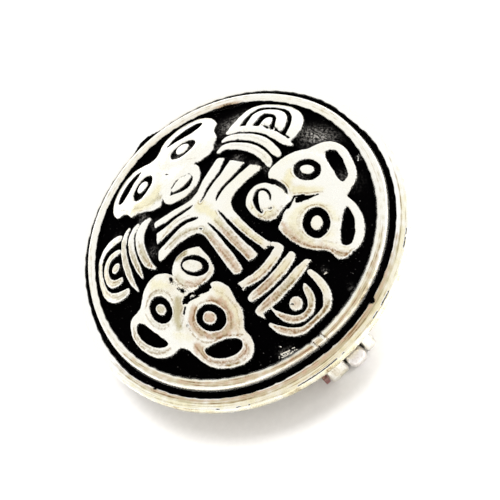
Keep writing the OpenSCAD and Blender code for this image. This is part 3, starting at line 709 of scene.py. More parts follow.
def ornamentMesh(g):
    n = int(round(2 * g["fieldEdge"] / g["cell"])) + 1
    ticks = np.linspace(-g["fieldEdge"], g["fieldEdge"], n)
    x, y = np.meshgrid(ticks, ticks)
    grid = ornamentField(x.ravel(), y.ravel()).reshape(n, n)
    grid[np.hypot(x, y) > g["fieldEdge"] - 0.06] = -1
    points, links = [], []
    for level in g["rows"]:
        for line in levelLines(grid, level):
            row = evenly(line * g["cell"] - g["fieldEdge"], g["along"])
            if row is not None:
                first, count = sum(len(k) for k in points), len(row)
                points.append(row)
                links += [(first + k, first + (k + 1) % count) for k in range(count)]
    low, high = g["rows"][0], g["rows"][-1]
    for spacing, keep in ((g["fillTop"], lambda f: f > high + 0.1),
                          (g["fillGround"], lambda f: f < low - 0.12)):
        hx, hy = honeycomb(spacing, g["fieldEdge"])
        inside = np.hypot(hx, hy) < g["fieldEdge"] - 0.12
        hx, hy = hx[inside], hy[inside]
        kept = keep(sampled(grid, hx, hy, g))
        points.append(np.stack([hx[kept], hy[kept]], 1))
    for axis, strength, marks in eachMark(shadeStrokes):
        line = strokeLine(axis, marks)
        across = np.gradient(line, axis=0)[:, ::-1] * (1, -1)
        across /= np.hypot(*across.T)[:, None]
        points += [line + across * offset for offset in g["strokeRows"]]
    for x0, y0, x1, y1, width in scratches:
        hx, hy = honeycomb(g["fillScratch"], math.hypot(x1 - x0, y1 - y0) / 2 + width)
        hx, hy = hx + (x0 + x1) / 2, hy + (y0 + y1) / 2
        inside = np.hypot(hx, hy) < g["fieldEdge"] - 0.05
        points.append(np.stack([hx[inside], hy[inside]], 1))
    turn = np.arange(g["turns"]) * 2 * math.pi / g["turns"]
    points.append(g["fieldEdge"] * np.stack([np.cos(turn), np.sin(turn)], 1))
    flat = np.vstack(points)
    verts, edges, faces = delaunay_2d_cdt([Vector(p) for p in flat], links, [], 0, 1e-5, False)[:3]
    spot = np.array([tuple(v) for v in verts])
    field = sampled(grid, spot[:, 0], spot[:, 1], g)
    levels = np.array(g["rows"])
    nearest = levels[np.abs(field[:, None] - levels).argmin(1)]
    field = np.where(np.abs(field - nearest) < 0.015, nearest, field)
    z = reliefHeight(spot[:, 0], spot[:, 1], field)
    rim = np.hypot(spot[:, 0], spot[:, 1]) > g["fieldEdge"] - 0.01
    z[rim] = groundHeight(g["fieldEdge"])
    for x0, y0, x1, y1, width in scratches:
        line = [(x0, y0, width), (x1, y1, width * 0.7)]
        field = np.maximum(field, insideBand(spot[:, 0], spot[:, 1], line))
    return spot, z, faces, np.clip(field, -0.5, 0.5)


def newObject(name, verts, faces):
    mesh = bpy.data.meshes.new(name)
    mesh.from_pydata(verts, [], faces)
    made = bpy.data.objects.new(name, mesh)
    bpy.context.collection.objects.link(made)
    return made


def setAttribute(piece, name, values):
    attribute = piece.data.attributes.get(name) or piece.data.attributes.new(name, "FLOAT", "POINT")
    attribute.data.foreach_set("value", np.asarray(values, np.float32))


def alone(piece):
    bpy.ops.object.select_all(action="DESELECT")
    piece.select_set(True)
    bpy.context.view_layer.objects.active = piece


def joinTo(target, pieces):
    alone(target)
    for piece in pieces:
        piece.select_set(True)
    bpy.ops.object.join()


def named(name):
    # the primitive just added, with its turn and size taken into its points
    made = bpy.context.object
    made.name = name
    bpy.ops.object.transform_apply(location=True, rotation=True, scale=True)
    return made


def edit(piece, select="SELECT"):
    alone(piece)
    bpy.ops.object.mode_set(mode="EDIT")
    bpy.ops.mesh.select_all(action=select)


def done():
    bpy.ops.object.mode_set(mode="OBJECT")
    return bpy.context.object


def closeEnds():
    bpy.ops.mesh.select_mode(type="EDGE")
    bpy.ops.mesh.select_all(action="DESELECT")
    bpy.ops.mesh.select_non_manifold()
    bpy.ops.mesh.edge_face_add()
    bpy.ops.mesh.select_all(action="SELECT")
    bpy.ops.mesh.normals_make_consistent(inside=False)
    return done()


def bevelEnds(piece, width, rings=3, sharper=60):
    # rounds off every edge that turns more sharply than the given angle
    edit(piece, "DESELECT")
    bpy.ops.mesh.select_mode(type="EDGE")
    bpy.ops.mesh.edges_select_sharp(sharpness=math.radians(sharper))
    bpy.ops.mesh.bevel(offset=width * mm, segments=rings)
    return done()


def barrel(name, start, length, radius, h, rounding, sides=40):
    # a roller along the hinge's line with rounded ends
    middle = ((start + length / 2) * mm, h["y"] * mm, h["z"] * mm)
    bpy.ops.mesh.primitive_cylinder_add(vertices=sides, radius=radius * mm, depth=length * mm,
                                        location=middle, rotation=(0, math.pi / 2, 0))
    return bevelEnds(named(name), rounding, 4)


def box(name, low, high, rounding):
    middle = [(a + b) / 2 * mm for a, b in zip(low, high)]
    bpy.ops.mesh.primitive_cube_add(size=mm, location=middle, scale=[b - a for a, b in zip(low, high)])
    made = named(name)
    return bevelEnds(made, rounding) if rounding else made


def combine(target, tool, operation="UNION"):
    alone(target)
    cut = target.modifiers.new("combine", "BOOLEAN")
    cut.operation, cut.object, cut.solver = operation, tool, "EXACT"
    bpy.ops.object.modifier_apply(modifier=cut.name)
    bpy.data.objects.remove(tool)
    return target


def openEdges(piece):
    work = bmesh.new()
    work.from_mesh(piece.data)
    count = sum(1 for e in work.edges if not e.is_manifold)
    work.free()
    return count


# The border runs from the ornament's ground over bead, groove and rim to the back. Its profile is radius,
# height and how polished, and its painted reflections and shade (straw, rose and olive) are radius and
# strength.
border = dict(
    profile=[(12.5, 4.2346, -0.5), (12.54, 4.22, -0.3), (12.555, 4.25, -0.2), (12.56, 4.45, -0.13),
             (12.57, 4.65, -0.08), (12.59, 4.745, -0.015), (12.65, 4.79, 0.08), (12.8, 4.83, 0.2),
             (12.96, 4.86, 0.4), (13.13, 4.865, 0.5), (13.24, 4.83, 0.4), (13.34, 4.77, 0.3),
             (13.43, 4.67, 0.2), (13.49, 4.54, 0.1), (13.53, 4.38, 0.03), (13.56, 4.2, -0.03),
             (13.59, 3.86, -0.1), (13.66, 3.72, -0.2), (13.78, 3.7, -0.3), (13.9, 3.72, -0.2),
             (13.95, 3.84, -0.1), (13.98, 3.96, -0.02), (14.02, 4.06, 0.05), (14.09, 4.11, 0.14),
             (14.2, 4.11, 0.25), (14.34, 4.08, 0.4), (14.5, 4.03, 0.5), (14.66, 3.96, 0.4),
             (14.78, 3.9, 0.3), (14.86, 3.85, 0.15), (14.9, 3.81, 0.08), (14.93, 3.8, 0.08),
             (14.965, 3.76, 0.15), (14.99, 3.7, 0.3), (15.0, 3.6, 0.5), (15.0, 3.3, 0.5),
             (14.985, 3.12, 0.5), (14.94, 3.04, 0.5), (14.85, 3.0, 0.5), (13.4, 3.0, 0.5),
             (11.78, 3.0, 0.5), (11.66, 3.02, 0.4), (11.56, 3.1, 0.3)],
    straw=[(12.6, 0.1), (12.8, 0.8), (13.18, 0.75), (13.32, 0), (14.0, 0.1), (14.3, 0.6), (14.5, 0.9),
           (14.8, 0.85), (15, 0.9)],
    rose=[(12.7, 0), (12.85, 0.75), (13.15, 0.75), (13.28, 0), (14.05, 0), (14.2, 0.85), (14.4, 0.6),
          (14.55, 0.05)],
    olive=[(12.75, 0), (12.98, 0.9), (13.2, 0.75), (13.32, 0), (14.05, 0.05), (14.2, 0.9), (14.45, 0.9),
           (14.6, 0.1)],
    # overTop is where the painted reflection runs over the bead's top, deeperReflection where its rose and
    # olive deepen on the rim
    overTop=(-70, 34, 0.16), deeperReflection=(-72, 30, 0.45),                        # angle, reach, how much
    crest=13.1, groove=13.7, outerRim=14.45,                                 # radii
    rings=[("inner", 12.64, 0.16), ("outer", 13.55, 0.2), ("lip", 14.0, 0.12)],     # radius, width
    # the two points of the profile that each mark lies between, counted from 0
    between=dict(inner=(0, 9), outer=(8, 18), lip=(18, 27), bead=(2, 17), rust=(2, 16), nick=(3, 16),
                 shoulder=(17, 31), pit=(18, 32), scuff=(27, 32), bare=(28, 32), wall=(31, 36)),
    inner=[(100, 60, 0.17), (-165, 18, 0.11), (30, 20, 0.07), (-72, 14, -0.06)],
    outer=[(-102, 22, -0.17), (160, 17, -0.22), (95, 32, 0.13), (-24, 9, 0.07), (0, 9, -0.08)],
    lip=[(-102, 15, -0.12), (-168, 7, 0.13), (-140, 14, 0.05), (-38, 22, 0.06), (4, 9, -0.17),
         (160, 16, -0.16)],            # where these rings run out of round: angle, reach, shift
    hollowRadius=16.7, hollowCentre=-9.0, hollowRings=10, backFrom=38,
    nicks=[(-95.4, 13.12, 0.12, 0.16, 14),      # angle, radius, width, depth, slant
           (-91.2, 13.12, 0.12, 0.14, 10)],
    pits=[(4.62, -13.33, 0.2), (-13.1, -5.2, 0.1)],      # x, y, size
    blacked=(89.5, 4.5, 0.55),         # angle, reach and width of the black on the rim's inner shoulder
    rust=(55, 6, 12.66, 0.22),         # angle, reach, radius and width of the brown patch on the bead
    scuffs=[(-107, -92, 1.0), (-135, -108, 0.3), (-91, -77, 0.3), (-77, -65, 0.7),
            (-51, -44, 0.6)])          # from angle, to angle, share


def spinBorder(b):
    # one point is drawn out along the profile and the line is spun round the disc
    first = b["profile"][0]
    bpy.ops.mesh.primitive_plane_add(size=mm, location=(first[0] * mm, 0, first[1] * mm))
    edit(named("border"))
    bpy.ops.mesh.merge(type="CENTER")
    line = [(r, z) for r, z, polish in b["profile"]]
    start = math.asin(line[-1][0] / b["hollowRadius"])
    for k in range(1, b["hollowRings"] + 1):
        a = start * (1 - k / b["hollowRings"])
        line.append((b["hollowRadius"] * math.sin(a), b["hollowCentre"] + b["hollowRadius"] * math.cos(a)))
    for (r0, z0), (r1, z1) in zip(line[:-1], line[1:]):
        move = ((r1 - r0) * mm, 0, (z1 - z0) * mm)
        bpy.ops.mesh.extrude_vertices_move(TRANSFORM_OT_translate={"value": move})
    bpy.ops.mesh.select_all(action="SELECT")
    bpy.ops.mesh.spin(steps=relief["turns"], angle=2 * math.pi, center=(0, 0, 0), axis=(0, 0, 1))
    bpy.ops.mesh.select_all(action="SELECT")
    bpy.ops.mesh.remove_doubles(threshold=0.0005 * mm)
    return done(), np.array(line)


def wearBorder(ring, line, b):
    co = np.zeros(len(ring.data.vertices) * 3)
    ring.data.vertices.foreach_get("co", co)
    co = co.reshape(-1, 3) / mm
    r, angle = np.hypot(co[:, 0], co[:, 1]), np.arctan2(co[:, 1], co[:, 0])
    turn = np.degrees(angle)
    row = np.empty(len(r), int)        # the profile's point that each point comes from
    for k in range(0, len(r), 4096):
        part = slice(k, k + 4096)
        row[part] = np.hypot(r[part, None] - line[:, 0], co[part, 2, None] - line[:, 1]).argmin(1)

    def on(part):
        first, last = b["between"][part]
        return (row > first) * (row < last)

    polish = np.array([p[2] for p in b["profile"]])
    edge = np.full(len(r), 0.5)
    front = row < len(polish)
    edge[front] = polish[row[front]]
    hidden = np.clip((row - b["backFrom"]) / 2.0, 0, 1)
    rough = 0.02 * np.sin(61 * angle) + 0.015 * np.sin(97 * angle + 1)
    shift = 0.0
    for name, middle, width in b["rings"]:
        off = sum(k * bell(((turn - at + 180) % 360 - 180) / reach) for at, reach, k in b[name])
        shift = shift + (off + (name != "outer") * rough) * bell((r - middle) / width) * on(name)
    lower = 0.02 * np.sin(9 * angle + 0.3) * bell((r - b["crest"]) / 0.45) * on("bead")

    side = np.clip((np.cos(angle + 1.95) - 0.25) / 0.5, 0, 1)         # the painted reflections and shade lie on the hinge's side
    broad = np.clip((np.cos(angle + 1.7) - 0.02) / 0.5, 0, 1)
    onBead, onRim = r < b["groove"], r > b["groove"]
    side = np.where(onBead, 0.25 + 0.75 * side, np.where(r > b["outerRim"], broad, side))
    at, reach, radius, width = b["rust"]
    rust = bell((turn - at) / reach) * bell((r - radius) / width) * on("rust")
    at, reach, width = b["blacked"]
    black = np.clip((13.95 + width * bell((turn - at) / reach) - r) / 0.06, 0, 1) * on("shoulder")
    edge = edge + 0.3 * rust - 0.9 * black
    # painted shade: olive and dark specks on the outer wall on the hinge's side, where it would mirror the
    # shaded table
    wall = on("wall") * side
    specksAndShade, bright = 0.95 * rust + 0.4 * wall, np.ones(len(r))
    # at each nick the tint is taken off as a painted highlight, and the dark specks beside it are painted
    # shade
    for at, radius, width, depth, slant in b["nicks"]:
        along = (turn - at) * math.pi / 180 * radius - (r - radius) * math.tan(math.radians(slant))
        cut = bell(along / width) * on("nick")
        lower -= depth * cut
        bright -= 0.9 * cut
        specksAndShade = specksAndShade + 1.1 * bell((along - 0.15) / width) * on("nick")

    at, reach, most = b["overTop"]                      # the painted reflection tint runs over the bead's top there
    beyond = r - np.where(onBead, 0.08 + most * bell((turn - at) / reach), 0)
    at, reach, most = b["deeperReflection"]
    deeperReflection = most * bell((turn - at) / reach) * onRim
    for name in ("straw", "rose", "olive"):
        patchy = 0.8 + 0.2 * ripple(angle * 7, angle * 3 + len(name), 1.0)
        tint = np.interp(beyond, *zip(*b[name])) * side * patchy
        tint = tint * (1 + deeperReflection * (name != "straw"))
        tint = tint + 0.2 * ripple(angle * 25, r * 5 + len(name), 1.0) * (tint > 0.1)
        tint = np.maximum((tint + 0.3 * wall * (name == "olive")) * bright, rust * (name == "rose") * 1.3)
        setAttribute(ring, name, np.where(front, tint, 0))
    setAttribute(ring, "specksAndShade", specksAndShade)
    for px, py, size in b["pits"]:
        pit = bell(np.hypot(co[:, 0] - px, co[:, 1] - py) / size) * on("pit")
        lower -= 0.35 * pit
        edge -= 0.7 * pit
    broken = 0.5 + 0.4 * ripple(angle * 23, angle * 9, 1.0)
    for first, last, share in b["scuffs"]:
        part = on("bare" if share == 1 else "scuff")
        scuffed = part * (turn > first) * (turn < last) * (broken < share)
        edge = np.where(scuffed, edge - 0.13, edge)
    co[:, :2] *= (1 + shift / r.clip(0.5))[:, None]
    co[:, 2] += lower
    ring.data.vertices.foreach_set("co", (co * mm).ravel())
    setAttribute(ring, "edge", np.clip(edge, -0.5, 0.5))
    setAttribute(ring, "hidden", hidden)


# The marks on the metal are grouped by axis, in that axis's own u and v.
# Painted reflections and shade in straw, olive and rose, and dark specks that are partly painted crease
# shade: strength, middle line with its widths.
shadeAndReflectionMarks = dict(
    straw=[(90, [(1.0, [(-4.4, 6.8, 0.4), (-3.6, 6.2, 0.8), (-2.7, 5.7, 0.8), (-1.7, 6.2, 0.4)]),
                 (0.95, [(-0.2, 1.0, 0.9), (0.0, 0.2, 0.6), (0.1, -0.6, 0.4)]),
                 (0.9, [(0.0, -0.7, 0.2), (-0.1, -1.6, 0.4)]),
                 (0.85, [(1.0, -2.2, 0.2), (1.1, -3.6, 0.4), (1.3, -5.0, 0.4)]),
                 (0.5, [(-4.4, 1.7, 0.3), (-2.2, 2.0, 0.3)])]),
           (-31, [(0.95, [(-2.2, 6.9, 0.3), (-1.2, 6.5, 0.6), (-0.8, 6.3, 0.4)]),
                  (0.9, [(-0.3, 9.0, 0.2), (-0.35, 8.0, 0.4), (-0.5, 7.0, 0.5)]),
                  (0.65, [(2.4, 9.7, 0.3), (1.4, 9.2, 0.4), (1.2, 7.8, 0.5), (2.0, 6.7, 0.8),
                          (3.2, 6.6, 0.7), (4.3, 7.6, 0.5)]),
                  (0.6, [(3.4, 9.4, 0.3), (4.3, 8.6, 0.3), (5.0, 10.2, 0.2)]),
                  (0.8, [(1.2, 5.2, 0.4), (1.4, 4.4, 0.5), (0.4, 3.6, 0.3)])]),
           (-149, [(0.7, [(-4.8, 8.5, 0.2), (-4.6, 7.6, 0.4), (-4.2, 6.9, 0.4)]),
                   (0.7, [(-3.9, 7.0, 0.3), (-3.0, 6.2, 0.6), (-2.4, 6.0, 0.4)]),
                   (0.75, [(1.9, 6.5, 0.4), (3.4, 6.6, 0.7)]), (0.6, [(-0.8, 9.9, 0.3), (0.6, 9.9, 0.5)])]),
           (-90, [(0.8, [(-1.2, 6.9, 0.2), (0.8, 6.85, 0.2)]),
                  (0.9, [(-1.8, 7.65, 0.2), (-0.2, 7.95, 0.3)]),
                  (0.8, [(-2.5, 8.7, 0.2), (-1.2, 8.8, 0.3)]),
                  (0.5, [(-2.7, 9.6, 0.2), (-2.5, 10.8, 0.3)])]),
           (150, [(0.6, [(-1.95, 9.9, 0.2), (-1.6, 10.6, 0.3)])])],
    olive=[(90, [(0.5, [(-4.7, 6.9, 0.3), (-4.2, 6.5, 0.3)]), (0.8, [(-2.8, 5.4, 0.3), (-2.2, 5.2, 0.3)]),
                 (0.25, [(-5.9, 8.6, 0.2), (-5.3, 8.2, 0.3)]),
                 (0.8, [(-4.2, 0.6, 0.1), (-3.4, 0.6, 0.3), (-2.5, 0.3, 0.2), (-1.8, -0.2, 0.1),
                        (-1.4, -0.8, 0.3), (-1.3, -1.7, 0.3)]),
                 (0.7, [(0.05, -1.1, 0.15), (0.0, -1.9, 0.3), (0.05, -3.4, 0.15)]),
                 (0.55, [(0.95, -3.0, 0.1), (1.15, -5.2, 0.15)])]),
           (-31, [(0.5, [(2.9, 6.3, 0.2), (3.9, 7.0, 0.4)]), (0.7, [(5.3, 10.1, 0.2), (5.3, 9.3, 0.3)]),
                  (0.4, [(1.3, 5.4, 0.2), (1.75, 4.9, 0.3), (1.7, 4.2, 0.2), (0.8, 3.5, 0.2)])]),
           (-149, [(1.0, [(-5.0, 10.85, 0.12), (-4.2, 11.2, 0.14)]),
                   (0.9, [(0.3, 9.3, 0.4), (0.6, 8.8, 0.6), (0.7, 8.0, 0.5), (0.8, 7.4, 0.4)]),
                   (0.55, [(1.2, 7.5, 0.15), (2.0, 7.0, 0.15), (3.0, 7.1, 0.2), (3.75, 7.6, 0.2)]),
                   (0.5, [(1.3, 9.35, 0.1), (2.3, 9.5, 0.15), (3.4, 9.2, 0.15)]),
                   (0.6, [(1.4, 11.2, 0.06), (2.6, 11.3, 0.08), (4.0, 11.0, 0.08), (5.0, 10.3, 0.08),
                          (5.1, 9.8, 0.06)]),
                   (0.7, [(0.5, 6.1, 0.2), (1.2, 5.7, 0.2)]), (1.1, [(1.6, 4.3, 0.2), (1.1, 3.75, 0.35)]),
                   (0.4, [(-0.3, 4.6, 0.3), (0.5, 4.6, 0.3)]),
                   (0.5, [(-1.7, 4.8, 0.1), (-1.5, 4.0, 0.15), (0.0, 3.4, 0.1)]),
                   (0.9, [(2.2, 8.3, 0.25), (2.6, 8.3, 0.25)])]),
           (-90, [(0.9, [(-1.2, 8.9, 0.1), (0.0, 8.95, 0.2), (0.8, 8.9, 0.2)]),
                  (0.9, [(-2.0, 11.5, 0.15), (-1.2, 11.8, 0.1), (0.2, 11.85, 0.15)]),
                  (0.8, [(-1.5, 10.0, 0.2), (-1.2, 10.7, 0.2), (0.0, 11.2, 0.1)])]),
           (30, [(0.4, [(2.0, 6.2, 0.3), (2.8, 5.6, 0.2)])]),
           (150, [(0.85, [(-2.2, 6.3, 0.3), (-1.4, 6.6, 0.3), (-0.2, 6.9, 0.15)]),
                  (0.8, [(-2.8, 7.2, 0.15), (-1.9, 7.5, 0.2), (-0.7, 7.8, 0.2)]),
                  (0.65, [(-3.2, 8.05, 0.1), (-2.2, 8.4, 0.2), (-0.8, 8.75, 0.2)]),
                  (0.65, [(-3.2, 9.2, 0.2), (-3.1, 10.0, 0.2), (-2.6, 10.9, 0.2)]),
                  (0.3, [(-2.0, 7.0, 1.5), (-0.6, 9.5, 3.0)]),
                  (0.5, [(-0.4, 10.0, 4.4), (-0.6, 12.0, 3.6)])])],
    rose=[(90, [(0.75, [(-1.32, -1.9, 0.3), (-1.4, -3.4, 0.4), (-1.5, -5.4, 0.4)]),
                (0.75, [(-0.2, -1.9, 0.2), (-0.2, -3.4, 0.4), (-0.2, -5.3, 0.5)])]),
          (-31, [(0.8, [(5.3, 9.9, 0.2), (5.2, 9.2, 0.25), (4.72, 8.5, 0.12), (4.6, 7.6, 0.12),
                        (4.25, 6.9, 0.2), (3.8, 6.35, 0.3), (3.1, 5.9, 0.4), (2.6, 5.8, 0.2)])]),
          (-149, [(1.1, [(-0.8, 7.7, 0.15), (-0.8, 8.7, 0.35), (-1.4, 9.3, 0.25), (-2.6, 9.45, 0.2),
                         (-3.6, 9.1, 0.3), (-4.1, 8.5, 0.35), (-4.1, 7.9, 0.3), (-3.8, 7.35, 0.25),
                         (-3.1, 6.95, 0.35), (-2.2, 6.9, 0.2)]),
                  (0.6, [(-4.8, 8.9, 0.2), (-4.6, 8.0, 0.3)]),
                  (1.2, [(-1.45, 10.4, 0.3), (-1.9, 10.65, 0.4), (-2.3, 10.95, 0.1)]),
                  (0.8, [(-2.5, 11.1, 0.1), (-3.6, 11.05, 0.1), (-4.7, 10.6, 0.1), (-5.4, 10.0, 0.25),
                         (-5.6, 9.5, 0.25), (-5.4, 9.1, 0.1)]),
                  (0.7, [(-1.25, 5.5, 0.1), (-0.7, 5.95, 0.3), (0.3, 6.05, 0.2)]),
                  (1.1, [(-2.5, 8.15, 0.35), (-2.1, 8.2, 0.3)])]),
          (-90, [(0.6, [(-0.4, 7.05, 0.1), (0.9, 7.0, 0.2), (1.8, 6.8, 0.3)]),
                 (0.8, [(-0.1, 7.8, 0.2), (1.0, 7.85, 0.4), (1.6, 7.8, 0.1)]),
                 (0.7, [(0.2, 8.75, 0.1), (1.2, 8.8, 0.3), (2.3, 8.8, 0.2)]),
                 (0.7, [(-0.6, 11.75, 0.1), (0.8, 11.8, 0.15), (1.6, 11.4, 0.3), (2.3, 10.6, 0.3)]),
                 (0.65, [(-0.4, 11.05, 0.1), (0.6, 11.05, 0.2), (1.2, 10.6, 0.3), (1.6, 10.0, 0.2)]),
                 (0.6, [(-0.3, 10.3, 0.2), (0.2, 10.1, 0.3)])]),
          (150, [(0.7, [(-2.5, 6.0, 0.1), (-1.9, 6.4, 0.2)])])],
    specksAndShade=[(90, [(0.5, [(-4.0, 5.8, 0.2), (-3.2, 5.1, 0.3), (-2.3, 5.3, 0.5), (-1.8, 5.9, 0.2)]),
                  (0.35, [(-1.9, 3.9, 0.2), (-1.0, 3.4, 0.2), (0.6, 3.3, 0.2), (1.6, 3.9, 0.2)]),
                  (0.4, [(1.0, 4.9, 0.2), (1.2, 4.5, 0.2)])]),
            (-31, [(0.3, [(4.9, 9.4, 0.3), (4.4, 7.2, 0.4), (3.4, 6.1, 0.4)]),
                   (0.4, [(1.5, 5.3, 0.2), (1.6, 4.6, 0.4), (1.2, 3.8, 0.2)])]),
            (-149, [(0.6, [(1.6, 4.3, 0.2), (1.1, 3.8, 0.3)]),
                    (0.75, [(-0.9, 6.75, 0.2), (0.0, 6.5, 0.3), (1.0, 6.3, 0.3), (1.8, 6.1, 0.3)]),
                    (0.45, [(-0.3, 9.2, 0.15), (-0.5, 9.1, 0.15)])]),
            (-90, [(0.4, [(-0.3, 10.2, 0.3), (0.2, 10.1, 0.3)])]),
            (30, [(0.6, [(-0.1, 9.4, 0.4), (0.4, 9.3, 0.5)])]),
            (150, [(0.45, [(0.3, 8.55, 0.2), (1.0, 8.5, 0.3)])])])
# Thin brown lines painted on the polished metal as shade on the relief: strength, middle line.
shadeStrokes = [
    (-149, [(0.7, [(-3.95, 9.0), (-3.2, 9.42), (-2.3, 9.6), (-1.5, 9.4), (-0.95, 8.8), (-0.88, 8.1),
                   (-1.2, 7.45), (-1.9, 7.02), (-2.8, 6.9), (-3.6, 7.15), (-4.1, 7.75), (-4.2, 8.4)]),
            (0.5, [(-3.75, 8.75), (-3.0, 9.27), (-2.2, 9.35), (-1.4, 9.05), (-1.02, 8.4), (-1.15, 7.75)]),
            (0.8, [(-5.2, 8.7), (-4.4, 8.95), (-3.6, 9.35), (-2.8, 9.8), (-2.0, 9.95), (-1.2, 9.75),
                   (-0.6, 9.3)]),
            (0.9, [(-5.55, 9.3), (-5.5, 9.85), (-5.0, 10.4), (-4.2, 10.85), (-3.3, 11.1), (-2.5, 11.12),
                   (-1.9, 10.85), (-1.3, 10.35)]),
            (0.5, [(-5.78, 9.4), (-5.7, 10.0), (-5.2, 10.55), (-4.3, 11.0), (-3.3, 11.26)]),
            (0.8, [(1.15, 7.7), (1.6, 7.15), (2.4, 6.95), (3.2, 7.1), (3.75, 7.6), (3.9, 8.3)]),
            (0.5, [(1.3, 9.35), (1.9, 9.7), (2.7, 9.6), (3.4, 9.25), (3.85, 8.8)]),
            (0.8, [(1.1, 10.95), (1.9, 11.35), (3.0, 11.4), (4.2, 11.05), (4.95, 10.45), (5.15, 9.85)]),
            (0.5, [(1.5, 11.12), (2.4, 11.24), (3.5, 11.0), (4.4, 10.7), (4.92, 10.15)]),
            (0.7, [(-1.45, 5.4), (-0.9, 6.0), (-0.1, 6.25), (0.7, 6.2), (1.4, 5.8)]),
            (0.5, [(-1.6, 4.9), (-1.3, 5.6), (-0.6, 5.95), (0.2, 5.95)]),
            (0.5, [(-4.85, 8.3), (-4.7, 7.6), (-4.3, 6.9), (-3.6, 6.4)]),
            (0.5, [(0.2, 9.3), (0.05, 8.7), (0.25, 7.9)]), (0.4, [(-4.0, 6.6), (-3.2, 6.2), (-2.4, 6.1)])]),
    (-31, [(0.9, [(4.9, 10.5), (5.25, 10.0), (5.2, 9.4), (4.9, 8.9), (4.72, 8.2), (4.6, 7.5), (4.2, 6.8),
                  (3.6, 6.2)]),
           (0.5, [(5.4, 9.9), (5.42, 9.4), (5.05, 8.9)]), (0.6, [(-0.08, 9.0), (-0.12, 8.0), (-0.08, 7.2)]),
           (0.35, [(1.25, 9.3), (1.1, 8.3), (1.5, 7.4), (2.4, 6.9), (3.4, 6.95)]),
           (0.5, [(0.95, 5.95), (1.5, 5.4), (1.75, 4.7), (1.5, 4.0)]),
           (0.35, [(4.4, 9.3), (4.25, 8.5), (4.2, 7.6)])]),
    (-90, [(0.8, [(-1.7, 8.92), (-0.4, 9.0), (1.0, 8.97), (2.3, 8.82)]),
           (0.4, [(-1.2, 8.72), (0.6, 8.75), (2.0, 8.65)]),
           (0.8, [(-0.9, 7.95), (0.3, 8.02), (1.4, 7.97), (2.2, 7.82)]),
           (0.5, [(0.0, 7.7), (1.2, 7.68), (2.0, 7.62)]), (0.7, [(-0.8, 7.05), (0.5, 7.08), (1.7, 6.8)]),
           (0.9, [(-1.9, 11.55), (-1.0, 11.83), (0.0, 11.86), (0.9, 11.83), (1.6, 11.5)]),
           (0.7, [(1.6, 11.45), (2.1, 10.85), (2.5, 10.25)]),
           (0.7, [(-0.9, 11.0), (0.0, 11.27), (0.8, 11.05), (1.3, 10.55), (1.6, 9.95)])]),
    (90, [(0.8, [(-4.7, 0.75), (-3.6, 0.6), (-2.6, 0.25), (-1.9, -0.1), (-1.45, -0.55)]),
          (0.4, [(-4.4, 0.5), (-3.3, 0.32), (-2.4, -0.02)]),
          (0.7, [(-1.35, -1.2), (-1.42, -2.6), (-1.5, -4.0), (-1.62, -5.3)]),
          (0.4, [(-1.1, -1.6), (-1.15, -3.0), (-1.25, -4.6)]),
          (0.8, [(-0.15, -1.0), (-0.12, -2.6), (-0.1, -4.0), (-0.15, -5.3)]),
          (0.4, [(0.15, -2.2), (0.18, -3.6), (0.3, -5.2)]),
          (0.3, [(0.98, -1.8), (1.1, -3.4), (1.35, -4.9)]),
          (0.5, [(-4.3, 1.75), (-3.2, 1.85), (-2.2, 1.6), (-1.4, 1.2)])]),
    (150, [(0.6, [(-2.6, 6.05), (-1.9, 6.45), (-1.0, 6.85), (0.2, 7.0)]),
           (0.5, [(-2.7, 7.2), (-1.9, 7.5), (-0.8, 7.8), (0.3, 7.9)]),
           (0.5, [(-3.1, 8.1), (-2.0, 8.5), (-0.8, 8.72), (0.3, 8.78)]),
           (0.5, [(-3.2, 9.2), (-3.1, 10.0), (-2.7, 10.8), (-1.9, 11.5)]),
           (0.4, [(-1.9, 9.8), (-1.7, 10.4), (-1.1, 11.0), (-0.3, 11.2)]),
           (0.35, [(1.85, 9.2), (2.0, 10.2), (1.8, 11.2)])]),
    (30, [(0.3, [(-1.2, 6.6), (0.0, 6.75), (1.4, 6.5), (2.4, 6.0)]),
          (0.25, [(-1.5, 7.6), (0.0, 7.85), (1.6, 7.5)])]),
    (90, [(0.4, [(-4.4, 6.9), (-3.9, 6.2), (-3.1, 5.5)]), (0.3, [(1.6, 6.3), (2.2, 5.7)])])]
# Where the polished edge is pitted and ragged: u, v, reach.
ragged = [
    (-149, [(0.4, 6.6, 0.8), (-1.2, 6.4, 0.7), (1.8, 6.0, 0.4), (-4.7, 7.0, 0.6), (-1.5, 4.0, 0.4)]),
    (-31, [(1.5, 5.6, 0.7), (0.45, 7.4, 0.5), (3.8, 6.1, 0.6), (1.8, 4.4, 0.5), (-3.4, 6.1, 0.4),
           (5.1, 8.9, 0.5)]),
    (90, [(-4.6, 6.3, 0.5), (-2.4, 5.0, 0.5), (0.3, 3.2, 0.6), (1.9, 5.2, 0.3), (4.2, 5.6, 0.5),
          (-1.2, 4.4, 0.3)]),
    (30, [(-0.9, 7.1, 0.5), (1.4, 9.1, 0.5), (0.6, 9.3, 0.4), (-1.2, 8.2, 0.5)]),
    (150, [(1.7, 5.9, 0.3), (0.4, 8.4, 0.4), (-2.5, 6.0, 0.4)]),
    (-90, [(0.0, 10.2, 0.4), (-2.9, 8.5, 0.4), (2.3, 6.6, 0.3)]),
    (90, [(4.9, 1.9, 0.6), (5.4, 0.6, 0.5), (-4.9, 2.0, 0.5), (0.6, -5.7, 0.5), (1.5, -5.6, 0.4),
          (-1.3, -5.6, 0.4)])]
